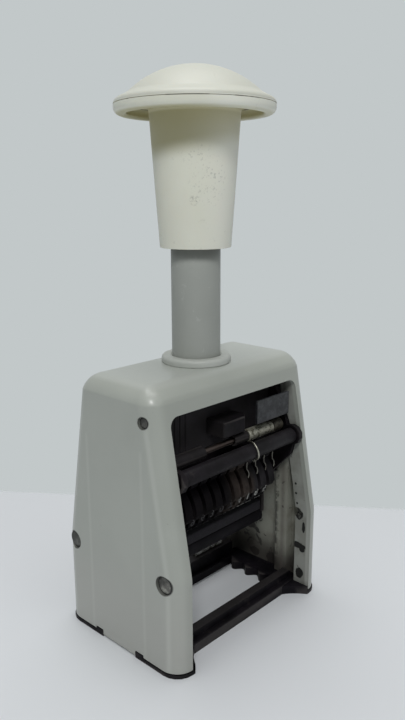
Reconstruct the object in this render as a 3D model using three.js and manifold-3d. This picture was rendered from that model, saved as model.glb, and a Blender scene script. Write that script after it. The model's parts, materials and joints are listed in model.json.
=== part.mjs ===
// A hand numbering machine: a die-cast housing with open front and back, a carriage of ten
// numbering wheels that a mushroom knob presses down, and an ink pad that swings out of the way.
// Millimetres, +Z up, origin at the middle of the underside, open front facing -Y.
import * as THREE from 'three';
import { mergeVertices } from 'three/addons/utils/BufferGeometryUtils.js';
import Module from 'manifold-3d';

const wasm = await Module();
wasm.setup();

// Fits that several pieces share
const fit = 0.3;
const overrun = 4;

// Facet counts
const roundSides = 24;
const knobSides = 48;
const smallSides = 12;
const cornerSteps = 5;
const bendSteps = 6;

// Angles of a turn
const quarter = 90;
const half = 180;
const full = 360;

// Housing: parallel sides, front and back upright to a kink and leaning in above it
const housing = {
  width: 74, depth: 54, topDepth: 33.5, foot: 0.6, kink: 32, top: 89,
  corner: 6.4, topRound: 6, sideWall: 2.4, endWall: 6.6, roof: 2.8, liftOverFeet: 0.9,
};
const windowCut = { jamb: 6.5, lintel: 9, corner: 3.2 };
const guideRib = { from: 11, width: 5.2, depth: 3.6, aboveFloor: 0.3, roofGap: 3.2 };

// Base frame: feet under the corners, a floor with the print opening, and a rail at each end
const base = {
  floor: 3, railFront: 6, railBack: 8, ledge: 3.6, ledgeDepth: 2, railSetFront: 6.4, railSetBack: 7.4,
  railWideFront: 5.2, railWideBack: 10, openFront: 12.2, openBack: 7.8, openSide: 9.8,
  scallopDepth: 2.6, scallops: 3, scallopSteps: 8, footThick: 1.2, footReach: 8, footOut: 0.15,
  footInset: 13, flareWidth: 9, flareHeight: 3.2, flareBury: 1, footTab: 0.8, sideTab: 7.3,
  tabLength: 3.4, tabRise: 0.9,
};

// Side screws, set flush in round recesses of the housing sides
const lowerScrew = { inset: 5.7, z: 30.4, recess: 3.3, depth: 0.9, head: 2.95, shank: 1.5, reach: 5.6 };
const upperScrew = { inset: 4.9, below: 10, recess: 2, depth: 0.8, head: 1.75, shank: 1.1, reach: 4.5 };
const screwDome = 0.3;

// Barrel on the roof, its collar and the knob's rod and return spring
const barrel = { outer: 8, inner: 6.8, length: 43, bore: 4.3, flange: 10.2, flangeThick: 2.2, seat: 3 };
const collar = { outer: 11.5, height: 2.4, round: 1, roundSteps: 3 };
const rod = { radius: 3.9 };
const coil = { wire: 1.3, turns: 13, steps: 8, sides: 5 };

// Knob: tapered skirt, mushroom rim with a hollow underside, and a domed cap.
// Heights are counted from the foot of the skirt.
const knob = {
  clearance: 0.9, skirt: 37.7, skirtFoot: 11.4, skirtHead: 14, wall: 1.9, edge: 0.6,
  bossFoot: 23.7, boss: 6.1, hollowTop: 41.3, hollowRoof: 43.9, cove: 1.8,
  rim: 25, rimLow: 40.1, rimMid: 41.9, rimSeam: 43, lip: 21.1, lipRise: 0.9,
  shelf: 16, shelfTop: 47.3, seamStep: 1, seamGap: 0.15,
  brimIn: 0.5, brimUp: 1.3, brimTop: 2.05, brimRise: 3.35,
  dome: 20.7, domeRise: 8.2, capWall: 2.2, domeSteps: 9,
};

// Numbering wheels on their axle
const wheel = {
  pitch: 4.6, room: 1.8, radius: 9.5, drum: 3.1, ratchet: 0.9, ratchetRadius: 8.2, tooth: 1.2,
  typeDepth: 0.8, typeHalfAngle: 12.5, bore: 2.95, facesPerTurn: 10, toothShare: 1 / 6,
  faceShare: 1 / 2,
};
const axle = { y: -5, z: 44, radius: 2.5 };
const printGap = 0.5;

// Detent levers, their shaft and the shafts and bars of the carriage
const lever = {
  width: 3.1, thick: 2.3, gap: 0.45, eye: 2.3, shaft: 1.2, shaftOut: 12.9,
  shaftAngle: 126, noseAngle: 185, bore: 1.55, footThick: 1.5, footAngle: 8,
};
const crossbar = { proud: 0.2, z: 60.3, radius: 2.6, journal: 2 };
const crossShaft = { behindBar: 5.2, aboveBar: 3.35, radius: 1 };
const bush = { length: 4.7, radius: 2.3, fromPlate: 0.8 };
const sleeve = { length: 12.9, radius: 2.1 };
const ringCollar = { length: 6.8, radius: 1.9 };
const hub = { length: 14.4, radius: 2.2, fromPlate: 0.8 };
const ringBore = 1.3;

// Carriage plates and blocks
const plate = {
  windowGap: 0.9, thick: 1.8, bottom: 4.6, back: 11, shoulder: 16, earRadius: 3.7,
  earFrom: 60, earTo: 260, bellyFrom: 200, bellyTo: 340, throat: 22, underLintel: 0.6,
};
const shoe = { ribGap: 0.5, wallGap: 1.6, below: 1, under: 2.4 };
const block = {
  height: 13, frontShare: 0.78, backDepth: 11.6, step: 3.4, aproned: 4.4, apronThick: 5,
  grooves: 5, groovePitch: 2.4, grooveWidth: 0.5, grooveDepth: 0.4, grooveInset: 3.2,
};
const counter = {
  right: 7.4, length: 12.4, front: 16.8, underPlate: 7.4, height: 5.4, endBevel: 2, edge: 0.5,
};
const indexPlate = {
  width: 17.4, plateGap: 0.4, front: 18.4, above: 1.8, height: 8, thick: 0.9, tab: 4,
};

// Ink pad frame and the drive comb
const pad = { halfWidth: 4.8, thick: 3.6, contactGap: 0.4 };
const tray = { thick: 5.2, halfWidth: 5.4, lip: 0.9, lipWidth: 0.9 };
const padArm = { plateGap: 0.5, thick: 1.4, eye: 4.4, width: 6.4, bore: 2.95, footGap: 1.8 };
const comb = {
  armGap: 0.7, thick: 1.2, eye: 4, bore: 2.95, width: 4.4, barGap: 1.2, barOut: 15.4,
  barWidth: 3, finger: 1.4, fingerWidth: 2.4,
};

// Curved wire spring over the crossbar
const wire = {
  radius: 0.42, sides: 3, steps: 24, drift: 1.2, ahead: 2.2, tail: 2.4, from: 58, to: 236, bends: 4,
};

// Leaf on the back rail
const leaf = { inset: 4.2, length: 15, railGap: 3.4, width: 4.4, thick: 0.6, lift: 2.2 };

// Places that follow from the sizes, from the housing's sides inwards
const sideX = housing.width / 2;
const innerX = sideX - housing.sideWall;
const roofUnder = housing.top - housing.roof;
const windowHalf = sideX - windowCut.jamb;
const windowTop = housing.top - windowCut.lintel;
const plateOuter = windowHalf - plate.windowGap;
const plateInner = plateOuter - plate.thick;
const plateTop = windowTop - plate.underLintel;
const padArmInner = plateInner - padArm.plateGap - padArm.thick;
const combInner = padArmInner - comb.armGap - comb.thick;
const wheelCount = Math.floor((combInner * 2 - wheel.room) / wheel.pitch);
const padHalf = padArmInner - padArm.footGap - tray.lipWidth;
const stroke = axle.z - wheel.radius - printGap;
const skirtFoot = housing.top + collar.height + stroke + knob.clearance;
const barrelTop = housing.top + barrel.length;
const springSeat = housing.top + barrel.seat;

// Materials, as the object shows them
const finish = {
  shell: { color: 0x8a9089, roughness: 0.42, metalness: 0 },
  ivory: { color: 0xdedfd4, roughness: 0.32, metalness: 0 },
  black: { color: 0x1d1b1e, roughness: 0.5, metalness: 0 },
  steel: { color: 0xa9a9a4, roughness: 0.3, metalness: 1 },
  brass: { color: 0x7d7a5c, roughness: 0.5, metalness: 1 },
  blackened: { color: 0x3b393d, roughness: 0.45, metalness: 0.7 },
  felt: { color: 0x1a1622, roughness: 0.95, metalness: 0 },
  plateGrey: { color: 0x5f6264, roughness: 0.5, metalness: 0.3 },
};

// Solids and transforms

function signedVolume(position, index) {
  const a = new THREE.Vector3();
  const b = new THREE.Vector3();
  const c = new THREE.Vector3();
  let sum = 0;
  for (let i = 0; i < index.length; i += 3) {
    a.fromArray(position, index[i] * 3);
    b.fromArray(position, index[i + 1] * 3);
    c.fromArray(position, index[i + 2] * 3);
    sum += a.dot(b.cross(c));
  }
  return sum;
}

function solid(source) {
  const geometry = source.clone();
  for (const name of Object.keys(geometry.attributes)) {
    if (name !== 'position') geometry.deleteAttribute(name);
  }
  const merged = mergeVertices(geometry);
  const position = merged.attributes.position.array;
  const kept = [];
  for (let i = 0; i < merged.index.count; i += 3) {
    const [a, b, c] = [merged.index.getX(i), merged.index.getX(i + 1), merged.index.getX(i + 2)];
    if (a !== b && b !== c && c !== a) kept.push(a, b, c);
  }
  if (signedVolume(position, kept) < 0) {
    for (let i = 0; i < kept.length; i += 3) [kept[i], kept[i + 1]] = [kept[i + 1], kept[i]];
  }
  const mesh = new wasm.Mesh({
    numProp: 3, vertProperties: new Float32Array(position), triVerts: new Uint32Array(kept),
  });
  return new wasm.Manifold(mesh);
}

function geometryOf(body) {
  const mesh = body.getMesh();
  const geometry = new THREE.BufferGeometry();
  const stride = mesh.numProp;
  const points = new Float32Array(mesh.vertProperties.length / stride * 3);
  for (let i = 0; i < points.length / 3; i += 1) {
    for (let k = 0; k < 3; k += 1) points[i * 3 + k] = mesh.vertProperties[i * stride + k];
  }
  geometry.setAttribute('position', new THREE.BufferAttribute(points, 3));
  geometry.setIndex(new THREE.BufferAttribute(new Uint32Array(mesh.triVerts), 1));
  const flat = geometry.toNonIndexed();
  flat.computeVertexNormals();
  return flat;
}

function join(...bodies) {
  return bodies.reduce((whole, next) => whole.add(next));
}

function cut(whole, ...tools) {
  return tools.reduce((rest, tool) => rest.subtract(tool), whole);
}

// Box between two corners
function block3(x0, x1, y0, y1, z0, z1) {
  const geometry = new THREE.BoxGeometry(x1 - x0, y1 - y0, z1 - z0);
  geometry.translate((x0 + x1) / 2, (y0 + y1) / 2, (z0 + z1) / 2);
  return solid(geometry);
}

// Turned piece about Z from a closed profile of [radius, height] pairs
function turned(profile, sides = roundSides) {
  const points = profile.map(([radius, height]) => new THREE.Vector2(radius, height));
  const first = profile[0];
  const onAxis = first[0] === 0 && profile[profile.length - 1][0] === 0;
  if (!onAxis) points.push(points[0].clone());
  const geometry = new THREE.LatheGeometry(points, sides);
  geometry.rotateX(Math.PI / 2);
  return solid(geometry);
}

function flatten(list) {
  return list.map(([a, b]) => new THREE.Vector2(a, b));
}

// Outline in the XY plane, raised from z0 to z1
function raised(outline, z0, z1) {
  const shape = outline instanceof THREE.Shape ? outline : new THREE.Shape(flatten(outline));
  const geometry = new THREE.ExtrudeGeometry(shape, {
    depth: z1 - z0, bevelEnabled: false, curveSegments: cornerSteps,
  });
  geometry.translate(0, 0, z0);
  return solid(geometry);
}

// Outline of [y, z] pairs, drawn out along X from x0 to x1
function drawnX(outline, x0, x1) {
  const shape = outline instanceof THREE.Shape ? outline : new THREE.Shape(flatten(outline));
  const geometry = new THREE.ExtrudeGeometry(shape, {
    depth: x1 - x0, bevelEnabled: false, curveSegments: cornerSteps,
  });
  geometry.applyMatrix4(new THREE.Matrix4().set(0, 0, 1, x0, 1, 0, 0, 0, 0, 1, 0, 0, 0, 0, 0, 1));
  return solid(geometry);
}

// Outline of [x, z] pairs, drawn out along Y from y0 to y1
function drawnY(outline, y0, y1) {
  const shape = outline instanceof THREE.Shape ? outline : new THREE.Shape(flatten(outline));
  const geometry = new THREE.ExtrudeGeometry(shape, {
    depth: y1 - y0, bevelEnabled: false, curveSegments: cornerSteps,
  });
  geometry.applyMatrix4(new THREE.Matrix4().set(1, 0, 0, 0, 0, 0, 1, y0, 0, 1, 0, 0, 0, 0, 0, 1));
  return solid(geometry);
}

// Round bar along X at (y, z)
function barX(x0, x1, y, z, radius, sides = roundSides) {
  const geometry = new THREE.CylinderGeometry(radius, radius, x1 - x0, sides);
  geometry.rotateZ(Math.PI / 2);
  geometry.translate((x0 + x1) / 2, y, z);
  return solid(geometry);
}

// Round bar along Z on the origin
function barZ(z0, z1, radius, sides = roundSides) {
  const geometry = new THREE.CylinderGeometry(radius, radius, z1 - z0, sides);
  geometry.rotateX(Math.PI / 2);
  geometry.translate(0, 0, (z0 + z1) / 2);
  return solid(geometry);
}

const radians = THREE.MathUtils.degToRad;

// Point in the YZ plane at a distance and angle from the wheel axle, angle 0 pointing to the back
function aboutAxle(distance, angle) {
  return [axle.y + distance * Math.cos(radians(angle)), axle.z + distance * Math.sin(radians(angle))];
}

function arcPoints(centreY, centreZ, radius, from, to, steps) {
  const list = [];
  for (let i = 0; i <= steps; i += 1) {
    const angle = radians(from + (to - from) * i / steps);
    list.push([centreY + radius * Math.cos(angle), centreZ + radius * Math.sin(angle)]);
  }
  return list;
}

// Ring of a rounded rectangle at one height
function roundedRing(halfX, halfY, corner, height) {
  const ring = [];
  const centres = [[1, 1, 0], [-1, 1, quarter], [-1, -1, half], [1, -1, half + quarter]];
  for (const [sx, sy, start] of centres) {
    for (let i = 0; i <= cornerSteps; i += 1) {
      const angle = radians(start + quarter * i / cornerSteps);
      const x = sx * (halfX - corner) + corner * Math.cos(angle);
      const y = sy * (halfY - corner) + corner * Math.sin(angle);
      ring.push([x, y, height]);
    }
  }
  return ring;
}

// Closed skin over rings that have the same number of points
function lofted(rings) {
  const size = rings[0].length;
  const points = rings.flat(2);
  const faces = [];
  for (let level = 0; level < rings.length - 1; level += 1) {
    for (let i = 0; i < size; i += 1) {
      const next = (i + 1) % size;
      const low = level * size;
      const high = low + size;
      faces.push(low + i, low + next, high + next, low + i, high + next, high + i);
    }
  }
  const last = (rings.length - 1) * size;
  for (let i = 1; i < size - 1; i += 1) {
    faces.push(0, i + 1, i);
    faces.push(last, last + i, last + i + 1);
  }
  const geometry = new THREE.BufferGeometry();
  geometry.setAttribute('position', new THREE.BufferAttribute(new Float32Array(points), 3));
  geometry.setIndex(faces);
  return solid(geometry);
}

// Housing

const leanPerHeight = (housing.depth - housing.topDepth) / 2 / (housing.top - housing.kink);

function halfDepthAt(height) {
  return housing.depth / 2 - Math.max(0, height - housing.kink) * leanPerHeight;
}

function housingOutside() {
  const rings = [];
  const halfX = housing.width / 2;
  for (const height of [housing.foot, housing.kink]) {
    rings.push(roundedRing(halfX, halfDepthAt(height), housing.corner, height));
  }
  for (let i = 0; i <= cornerSteps; i += 1) {
    const angle = radians(quarter * i / cornerSteps);
    const height = housing.top - housing.topRound * (1 - Math.sin(angle));
    const inset = housing.topRound * (1 - Math.cos(angle));
    rings.push(roundedRing(halfX - inset, halfDepthAt(height) - inset, housing.corner - inset, height));
  }
  return lofted(rings);
}

function housingInside() {
  const halfX = housing.width / 2 - housing.sideWall;
  const corner = housing.corner - housing.sideWall;
  const levels = [housing.foot - overrun, housing.kink, housing.top - housing.roof];
  return lofted(levels.map((height) => (
    roundedRing(halfX, halfDepthAt(height) - housing.endWall, corner, height)
  )));
}

function windowOutline() {
  const corner = windowCut.corner;
  const right = arcPoints(windowHalf - corner, windowTop - corner, corner, 0, quarter, cornerSteps);
  const left = arcPoints(corner - windowHalf, windowTop - corner, corner, quarter, half, cornerSteps);
  const low = housing.foot - overrun;
  return [[windowHalf, low], ...right, ...left, [-windowHalf, low]];
}

// Place of each screw on a side of the housing, as [y, z]
const lowerFront = [lowerScrew.inset - housing.depth / 2, lowerScrew.z];
const lowerBack = [housing.depth / 2 - lowerScrew.inset, lowerScrew.z];
const upperHeight = housing.top - upperScrew.below;
const upperFront = [upperScrew.inset - halfDepthAt(upperHeight), upperHeight];

function screwHole(side, screw, [y, z]) {
  const recess = barX(sideX - screw.depth, sideX + overrun, y, z, screw.recess);
  const hole = barX(sideX - screw.reach - overrun, sideX, y, z, screw.shank + fit, smallSides);
  return side > 0 ? join(recess, hole) : join(recess, hole).mirror([1, 0, 0]);
}

function makeHousing() {
  let shell = cut(housingOutside(), housingInside());
  const ribTop = roofUnder - guideRib.roofGap;
  const ribFoot = base.floor + guideRib.aboveFloor;
  for (const side of [-1, 1]) {
    for (const end of [-1, 1]) {
      const y0 = end < 0 ? -guideRib.from - guideRib.width : guideRib.from;
      const x0 = side < 0 ? -innerX - housing.sideWall / 2 : innerX - guideRib.depth;
      const x1 = side < 0 ? guideRib.depth - innerX : innerX + housing.sideWall / 2;
      shell = shell.add(block3(x0, x1, y0, y0 + guideRib.width, ribFoot, ribTop));
    }
  }
  const depth = housing.depth / 2 + overrun;
  const footTop = housing.foot + housing.liftOverFeet;
  const tabTop = footTop + base.tabRise;
  const tabEnd = base.footReach + base.tabLength + fit;
  const reach = housing.width / 2 + overrun;
  shell = cut(
    shell,
    drawnY(windowOutline(), -depth, depth),
    barZ(roofUnder - overrun, housing.top + overrun, barrel.outer + fit),
    block3(-reach, reach, -depth, -base.footReach, housing.foot - overrun, footTop),
    block3(-reach, reach, base.footReach, depth, housing.foot - overrun, footTop),
    block3(-reach, reach, -tabEnd, -base.footReach, housing.foot - overrun, tabTop),
    block3(-reach, reach, base.footReach, tabEnd, housing.foot - overrun, tabTop),
  );
  for (const side of [-1, 1]) {
    shell = cut(
      shell,
      screwHole(side, lowerScrew, lowerFront),
      screwHole(side, lowerScrew, lowerBack),
      screwHole(side, upperScrew, upperFront),
    );
  }
  return shell;
}

function makeScrew(side, screw, [y, z]) {
  const seat = sideX - screw.depth;
  const flush = screw.depth - screwDome;
  const profile = [
    [0, -screw.reach + screw.depth], [screw.shank, -screw.reach + screw.depth], [screw.shank, 0],
    [screw.head, 0], [screw.head, flush - screwDome], [screw.head - screwDome, flush], [0, flush],
  ];
  const piece = turned(profile, smallSides).rotate([0, quarter, 0]).translate([seat, y, z]);
  return side > 0 ? piece : piece.mirror([1, 0, 0]);
}

// Base frame

// One side of the print opening, with a row of round scallops
function scallopedSide(sign) {
  const list = [];
  const count = base.scallops * base.scallopSteps;
  const span = base.openFront + base.openBack;
  const edge = sideX - base.openSide;
  for (let i = 0; i <= count; i += 1) {
    const swing = (1 - Math.cos(2 * Math.PI * i / base.scallopSteps)) / 2;
    list.push([sign * (edge - swing * base.scallopDepth), span * i / count - base.openFront]);
  }
  return sign > 0 ? list : list.reverse();
}

function flareCurve() {
  const outY = housing.depth / 2 + base.footOut * 2;
  const rail = housing.depth / 2 - base.railSetFront;
  const from = windowHalf - base.footTab;
  const curve = new THREE.QuadraticBezierCurve(
    new THREE.Vector2(from, outY), new THREE.Vector2(from - base.flareWidth / 2, rail),
    new THREE.Vector2(from - base.flareWidth, rail - base.flareBury),
  );
  return curve.getPoints(bendSteps).map((point) => [point.x, point.y]);
}

function footOutline() {
  const outX = sideX + base.footOut;
  const outY = housing.depth / 2 + base.footOut * 2;
  const corner = housing.corner;
  const flare = flareCurve();
  const tabX = innerX + fit - base.sideTab;
  return [
    [outX, base.footReach],
    ...arcPoints(outX - corner, outY - corner, corner, 0, quarter, cornerSteps), ...flare,
    [flare[bendSteps][0], base.footInset], [tabX, base.footInset], [tabX, base.footReach],
  ];
}

// Raised end of a foot's strip, which lies in a notch of the housing
function tabOutline() {
  const out = sideX + base.footOut;
  const into = innerX + fit - base.sideTab;
  const end = base.footReach + base.tabLength;
  return [[out, base.footReach], [out, end], [into, end], [into, base.footReach]];
}

// Raised web inside the flare of a foot
function webOutline() {
  const flare = flareCurve();
  return [...flare, [flare[0][0], flare[bendSteps][1]]];
}

function makeBase() {
  const { floor, railFront, railBack } = base;
  const inside = innerX - fit;
  const endIn = housing.depth / 2 - housing.endWall - fit;
  const corner = housing.corner - housing.sideWall + fit;
  const railHalf = windowHalf - fit;
  const frontOut = base.railSetFront - housing.depth / 2;
  const backOut = housing.depth / 2 - base.railSetBack;
  const front = block3(-railHalf, railHalf, frontOut, frontOut + base.railWideFront, 0, railFront);
  const back = block3(-railHalf, railHalf, backOut - base.railWideBack, backOut, 0, railBack);
  const opening = [...scallopedSide(1), ...scallopedSide(-1)];
  const ledgeTo = frontOut + base.ledgeDepth;
  const farX = railHalf + overrun;
  let frame = lofted([0, floor].map((height) => roundedRing(inside, endIn, corner, height)));
  frame = cut(
    join(frame, front, back),
    raised(opening, -overrun, floor + overrun),
    block3(-farX, farX, frontOut - overrun, ledgeTo, base.ledge, railFront + overrun),
  );
  for (const sx of [-1, 1]) {
    for (const sy of [-1, 1]) {
      const placed = (outline) => outline.map(([x, y]) => [sx * x, sy * y]);
      const foot = raised(placed(footOutline()), 0, base.footThick);
      const tab = raised(placed(tabOutline()), 0, base.footThick + base.tabRise);
      frame = join(frame, foot, tab, raised(placed(webOutline()), 0, base.flareHeight));
    }
  }
  return frame;
}

function makeLeaf() {
  const rise = base.railBack;
  const back = housing.depth / 2 - base.railSetBack - leaf.railGap;
  const to = windowHalf - leaf.inset;
  const outline = [
    [back - leaf.width, rise], [back, rise], [back, rise + leaf.thick],
    [back - leaf.width / 2, rise + leaf.thick], [back - leaf.width, rise + leaf.lift],
    [back - leaf.width - leaf.thick, rise + leaf.lift],
  ];
  return drawnX(outline, to - leaf.length, to);
}

// Barrel, collar, rod and spring

function makeBarrel() {
  const under = roofUnder - fit - barrel.flangeThick;
  return turned([
    [barrel.bore, under], [barrel.flange, under], [barrel.flange, roofUnder - fit],
    [barrel.outer, roofUnder - fit], [barrel.outer, barrelTop], [barrel.inner, barrelTop],
    [barrel.inner, springSeat], [barrel.bore, springSeat],
  ]);
}

function makeCollar() {
  const low = housing.top;
  const high = low + collar.height;
  const inner = barrel.outer + fit;
  const profile = [[inner, low], [collar.outer, low]];
  const bend = collar.outer - collar.round;
  profile.push(...arcPoints(bend, high - collar.round, collar.round, 0, quarter, collar.roundSteps));
  profile.push([inner, high]);
  return turned(profile, knobSides);
}

function makeRod() {
  return barZ(plateTop, skirtFoot + knob.hollowTop - fit, rod.radius);
}

// Unbroken coil of wire about Z, from its seat in the barrel to the boss of the knob
function makeSpring() {
  const low = springSeat + coil.wire / 2 + fit;
  const high = skirtFoot + knob.bossFoot - coil.wire / 2 - fit;
  const radius = (rod.radius + barrel.inner) / 2;
  const count = coil.turns * coil.steps;
  const rings = [];
  for (let i = 0; i <= count; i += 1) {
    const angle = 2 * Math.PI * i / coil.steps;
    const height = low + (high - low) * i / count;
    const rise = (high - low) / (coil.turns * 2 * Math.PI * radius);
    const ring = [];
    for (let k = 0; k < coil.sides; k += 1) {
      const turn = 2 * Math.PI * k / coil.sides;
      const out = coil.wire / 2 * Math.cos(turn);
      const up = coil.wire / 2 * Math.sin(turn);
      const centre = radius + out;
      ring.push([
        centre * Math.cos(angle) + up * rise * Math.sin(angle),
        centre * Math.sin(angle) - up * rise * Math.cos(angle),
        height + up,
      ]);
    }
    rings.push(ring);
  }
  return lofted(rings);
}

// Knob

function makeKnobBody() {
  const { edge, rim, lip } = knob;
  const inner = knob.skirtFoot - knob.wall;
  const bore = rod.radius + fit;
  const profile = [
    [0, knob.hollowTop - fit / 2], [bore, knob.hollowTop - fit / 2], [bore, knob.bossFoot],
    [knob.boss, knob.bossFoot], [knob.boss, knob.hollowTop], [inner, knob.hollowTop],
    [inner, 0], [knob.skirtFoot - edge, 0], [knob.skirtFoot, edge],
    [knob.skirtHead, knob.skirt], [knob.skirtHead + edge, knob.hollowRoof - edge],
    [knob.skirtHead + knob.cove, knob.hollowRoof], [lip - knob.cove, knob.hollowRoof],
    [lip, knob.rimSeam - edge], [lip, knob.rimLow + edge], [lip + edge, knob.rimLow],
    [rim - knob.cove, knob.rimLow], [rim - edge, knob.rimLow + knob.lipRise],
    [rim, knob.rimMid], [rim, knob.rimSeam],
    [rim - knob.seamStep, knob.rimSeam], [knob.shelf, knob.shelfTop], [0, knob.shelfTop],
  ];
  return turned(profile.map(([radius, height]) => [radius, skirtFoot + height]), knobSides);
}

// Circle arc of a dome from its edge to its crown
function domeArc(radius, low, rise, fromCrown) {
  const sphere = (radius * radius + rise * rise) / (2 * rise);
  const list = [];
  for (let i = 0; i <= knob.domeSteps; i += 1) {
    const out = i === knob.domeSteps ? 0 : radius * Math.cos(Math.PI / 2 * i / knob.domeSteps);
    list.push([out, low + rise - sphere + Math.sqrt(sphere * sphere - out * out)]);
  }
  return fromCrown ? list.reverse() : list;
}

function makeKnobCap() {
  const { rim, shelf, seamGap } = knob;
  const low = skirtFoot + knob.rimSeam + seamGap;
  const foot = low + knob.brimRise;
  const under = skirtFoot + knob.shelfTop + seamGap;
  const crownInside = foot + knob.domeRise - knob.capWall;
  const profile = [
    [shelf + seamGap, under], [rim - knob.seamStep, low], [rim, low],
    [rim - knob.brimIn, low + knob.brimUp], [rim - knob.cove, low + knob.brimTop],
    ...domeArc(knob.dome, foot, knob.domeRise, false),
    ...domeArc(shelf - knob.capWall, under, crownInside - under, true),
  ];
  return turned(profile, knobSides);
}

// Numbering wheels

function wheelOutline() {
  const list = [];
  const step = full / wheel.facesPerTurn;
  for (let i = 0; i < wheel.facesPerTurn; i += 1) {
    const middle = (i + wheel.faceShare) * step;
    for (const turn of [-wheel.typeHalfAngle, wheel.typeHalfAngle]) {
      list.push([middle + turn, wheel.radius]);
    }
    list.push([middle + step / 2, wheel.radius - wheel.typeDepth]);
  }
  return list.map(([angle, radius]) => aboutAxle(radius, angle));
}

function ratchetOutline() {
  const list = [];
  const step = full / wheel.facesPerTurn;
  for (let i = 0; i < wheel.facesPerTurn; i += 1) {
    list.push(aboutAxle(wheel.ratchetRadius, i * step));
    list.push(aboutAxle(wheel.ratchetRadius - wheel.tooth, (i + wheel.toothShare) * step));
  }
  return list;
}

function wheelStart(number) {
  return (number - 1 - wheelCount / 2) * wheel.pitch + fit;
}

function makeWheel(number) {
  const x0 = wheelStart(number);
  const drumEnd = x0 + wheel.drum;
  const overlap = fit / 2;
  const body = join(
    drawnX(wheelOutline(), x0, drumEnd),
    drawnX(ratchetOutline(), drumEnd - overlap, drumEnd + wheel.ratchet),
  );
  return cut(body, barX(x0 - overrun, drumEnd + overrun, axle.y, axle.z, wheel.bore, roundSides));
}

// Detent levers

const [leverShaftY, leverShaftZ] = aboutAxle(lever.shaftOut, lever.shaftAngle);

function makeLever(number) {
  const x0 = wheelStart(number);
  const x1 = x0 + lever.width;
  const near = wheel.radius + lever.gap;
  const far = near + lever.thick;
  const { shaftAngle, noseAngle } = lever;
  const inner = arcPoints(axle.y, axle.z, near, noseAngle, shaftAngle, bendSteps);
  const outer = arcPoints(axle.y, axle.z, far, shaftAngle, noseAngle - lever.footAngle, bendSteps);
  const foot = aboutAxle(near + lever.footThick, noseAngle);
  const band = drawnX([...inner, ...outer, foot], x0, x1);
  const eye = barX(x0, x1, leverShaftY, leverShaftZ, lever.eye, smallSides);
  const bore = barX(x0 - overrun, x1 + overrun, leverShaftY, leverShaftZ, lever.bore, smallSides);
  return cut(join(band, eye), bore);
}

// Bars and shafts: the crossbar just proud of the sloping front, the thin shaft behind and above it
const barY = crossbar.radius - crossbar.proud - halfDepthAt(crossbar.z);
const barHeight = crossbar.z;
const shaftY = barY + crossShaft.behindBar;
const shaftZ = barHeight + crossShaft.aboveBar;

function makeCrossbar() {
  const end = plateInner - fit;
  const bar = barX(-end, end, barY, barHeight, crossbar.radius);
  return join(bar, barX(-plateOuter, plateOuter, barY, barHeight, crossbar.journal));
}

function shaftBetweenPlates(y, z, radius) {
  return barX(-plateOuter, plateOuter, y, z, radius, smallSides);
}

// Rings on the cross shaft, set one beside the other from the right plate
const bushTo = plateInner - bush.fromPlate;
const sleeveTo = bushTo - bush.length - fit;
const ringCollarTo = sleeveTo - sleeve.length - fit;
const hubTo = hub.fromPlate + hub.length - plateInner;

function ringOn(part, to) {
  const from = to - part.length;
  const outer = barX(from, to, shaftY, shaftZ, part.radius, roundSides);
  return cut(outer, barX(from - overrun, to + overrun, shaftY, shaftZ, ringBore, smallSides));
}

// Carriage plates with the shoes that run between the housing's ribs

function plateOutline() {
  const ear = arcPoints(barY, barHeight, plate.earRadius, plate.earFrom, plate.earTo, bendSteps);
  return [
    [plate.back, plateTop], [-plate.back, plateTop],
    [shaftY - plate.earRadius / 2, shaftZ + plate.earRadius], ...ear,
    aboutAxle(plate.earRadius + lever.shaftOut, lever.shaftAngle + plate.throat),
    ...arcPoints(axle.y, axle.z, plate.bottom, plate.bellyFrom, plate.bellyTo, bendSteps),
    [plate.back, axle.z + plate.shoulder],
  ];
}

function makePlate(side) {
  const shoeHalf = guideRib.from - shoe.ribGap;
  const shoeLow = axle.z - shoe.below;
  const sheet = drawnX(plateOutline(), plateInner, plateOuter);
  const runner = block3(
    plateOuter - fit, innerX - shoe.wallGap, -shoeHalf, shoeHalf, shoeLow, plateTop - shoe.under,
  );
  const hole = (y, z, radius) => (
    barX(plateInner - overrun, innerX, y, z, radius + fit, smallSides)
  );
  const body = cut(
    join(sheet, runner),
    hole(axle.y, axle.z, axle.radius),
    hole(leverShaftY, leverShaftZ, lever.shaft),
    hole(shaftY, shaftZ, crossShaft.radius),
    hole(barY, barHeight, crossbar.journal),
  );
  return side > 0 ? body : body.mirror([1, 0, 0]);
}

// Blocks between the plates

const blockBottom = plateTop - block.height;
const blockFront = -block.backDepth * block.frontShare;

const counterLeft = counter.right - counter.length;

function makeHeadBlock() {
  const outline = [
    [block.backDepth, blockBottom], [block.backDepth, plateTop - block.step],
    [block.backDepth - block.step, plateTop], [blockFront, plateTop], [blockFront, blockBottom],
  ];
  const apronFoot = blockBottom - block.aproned;
  const apron = block3(
    -plateInner, plateInner, blockFront, blockFront + block.apronThick, apronFoot, blockBottom + fit,
  );
  let body = drawnX(outline, -plateInner, plateInner).add(apron);
  for (let i = 0; i < block.grooves; i += 1) {
    const x = block.grooveInset + i * block.groovePitch - plateInner;
    body = body.subtract(block3(
      x, x + block.grooveWidth, blockFront - overrun, blockFront + block.grooveDepth,
      apronFoot - overrun, plateTop + overrun,
    ));
  }
  return body;
}

const indexRight = plateInner - indexPlate.plateGap;
const indexLeft = indexRight - indexPlate.width;

function makeCounter() {
  const top = plateTop - counter.underPlate;
  const { right, front, edge, endBevel } = counter;
  const outline = [
    [blockFront, top - counter.height], [blockFront, top], [edge - front, top], [-front, top - edge],
    [-front, top - counter.height],
  ];
  const body = drawnX(outline, counterLeft, right);
  const far = right + overrun;
  const corner = [
    [far, -front - overrun], [far, endBevel - front], [right, endBevel - front],
    [right - endBevel, -front], [right - endBevel, -front - overrun],
  ];
  return cut(body, raised(corner, top - counter.height - overrun, top + overrun));
}

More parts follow.
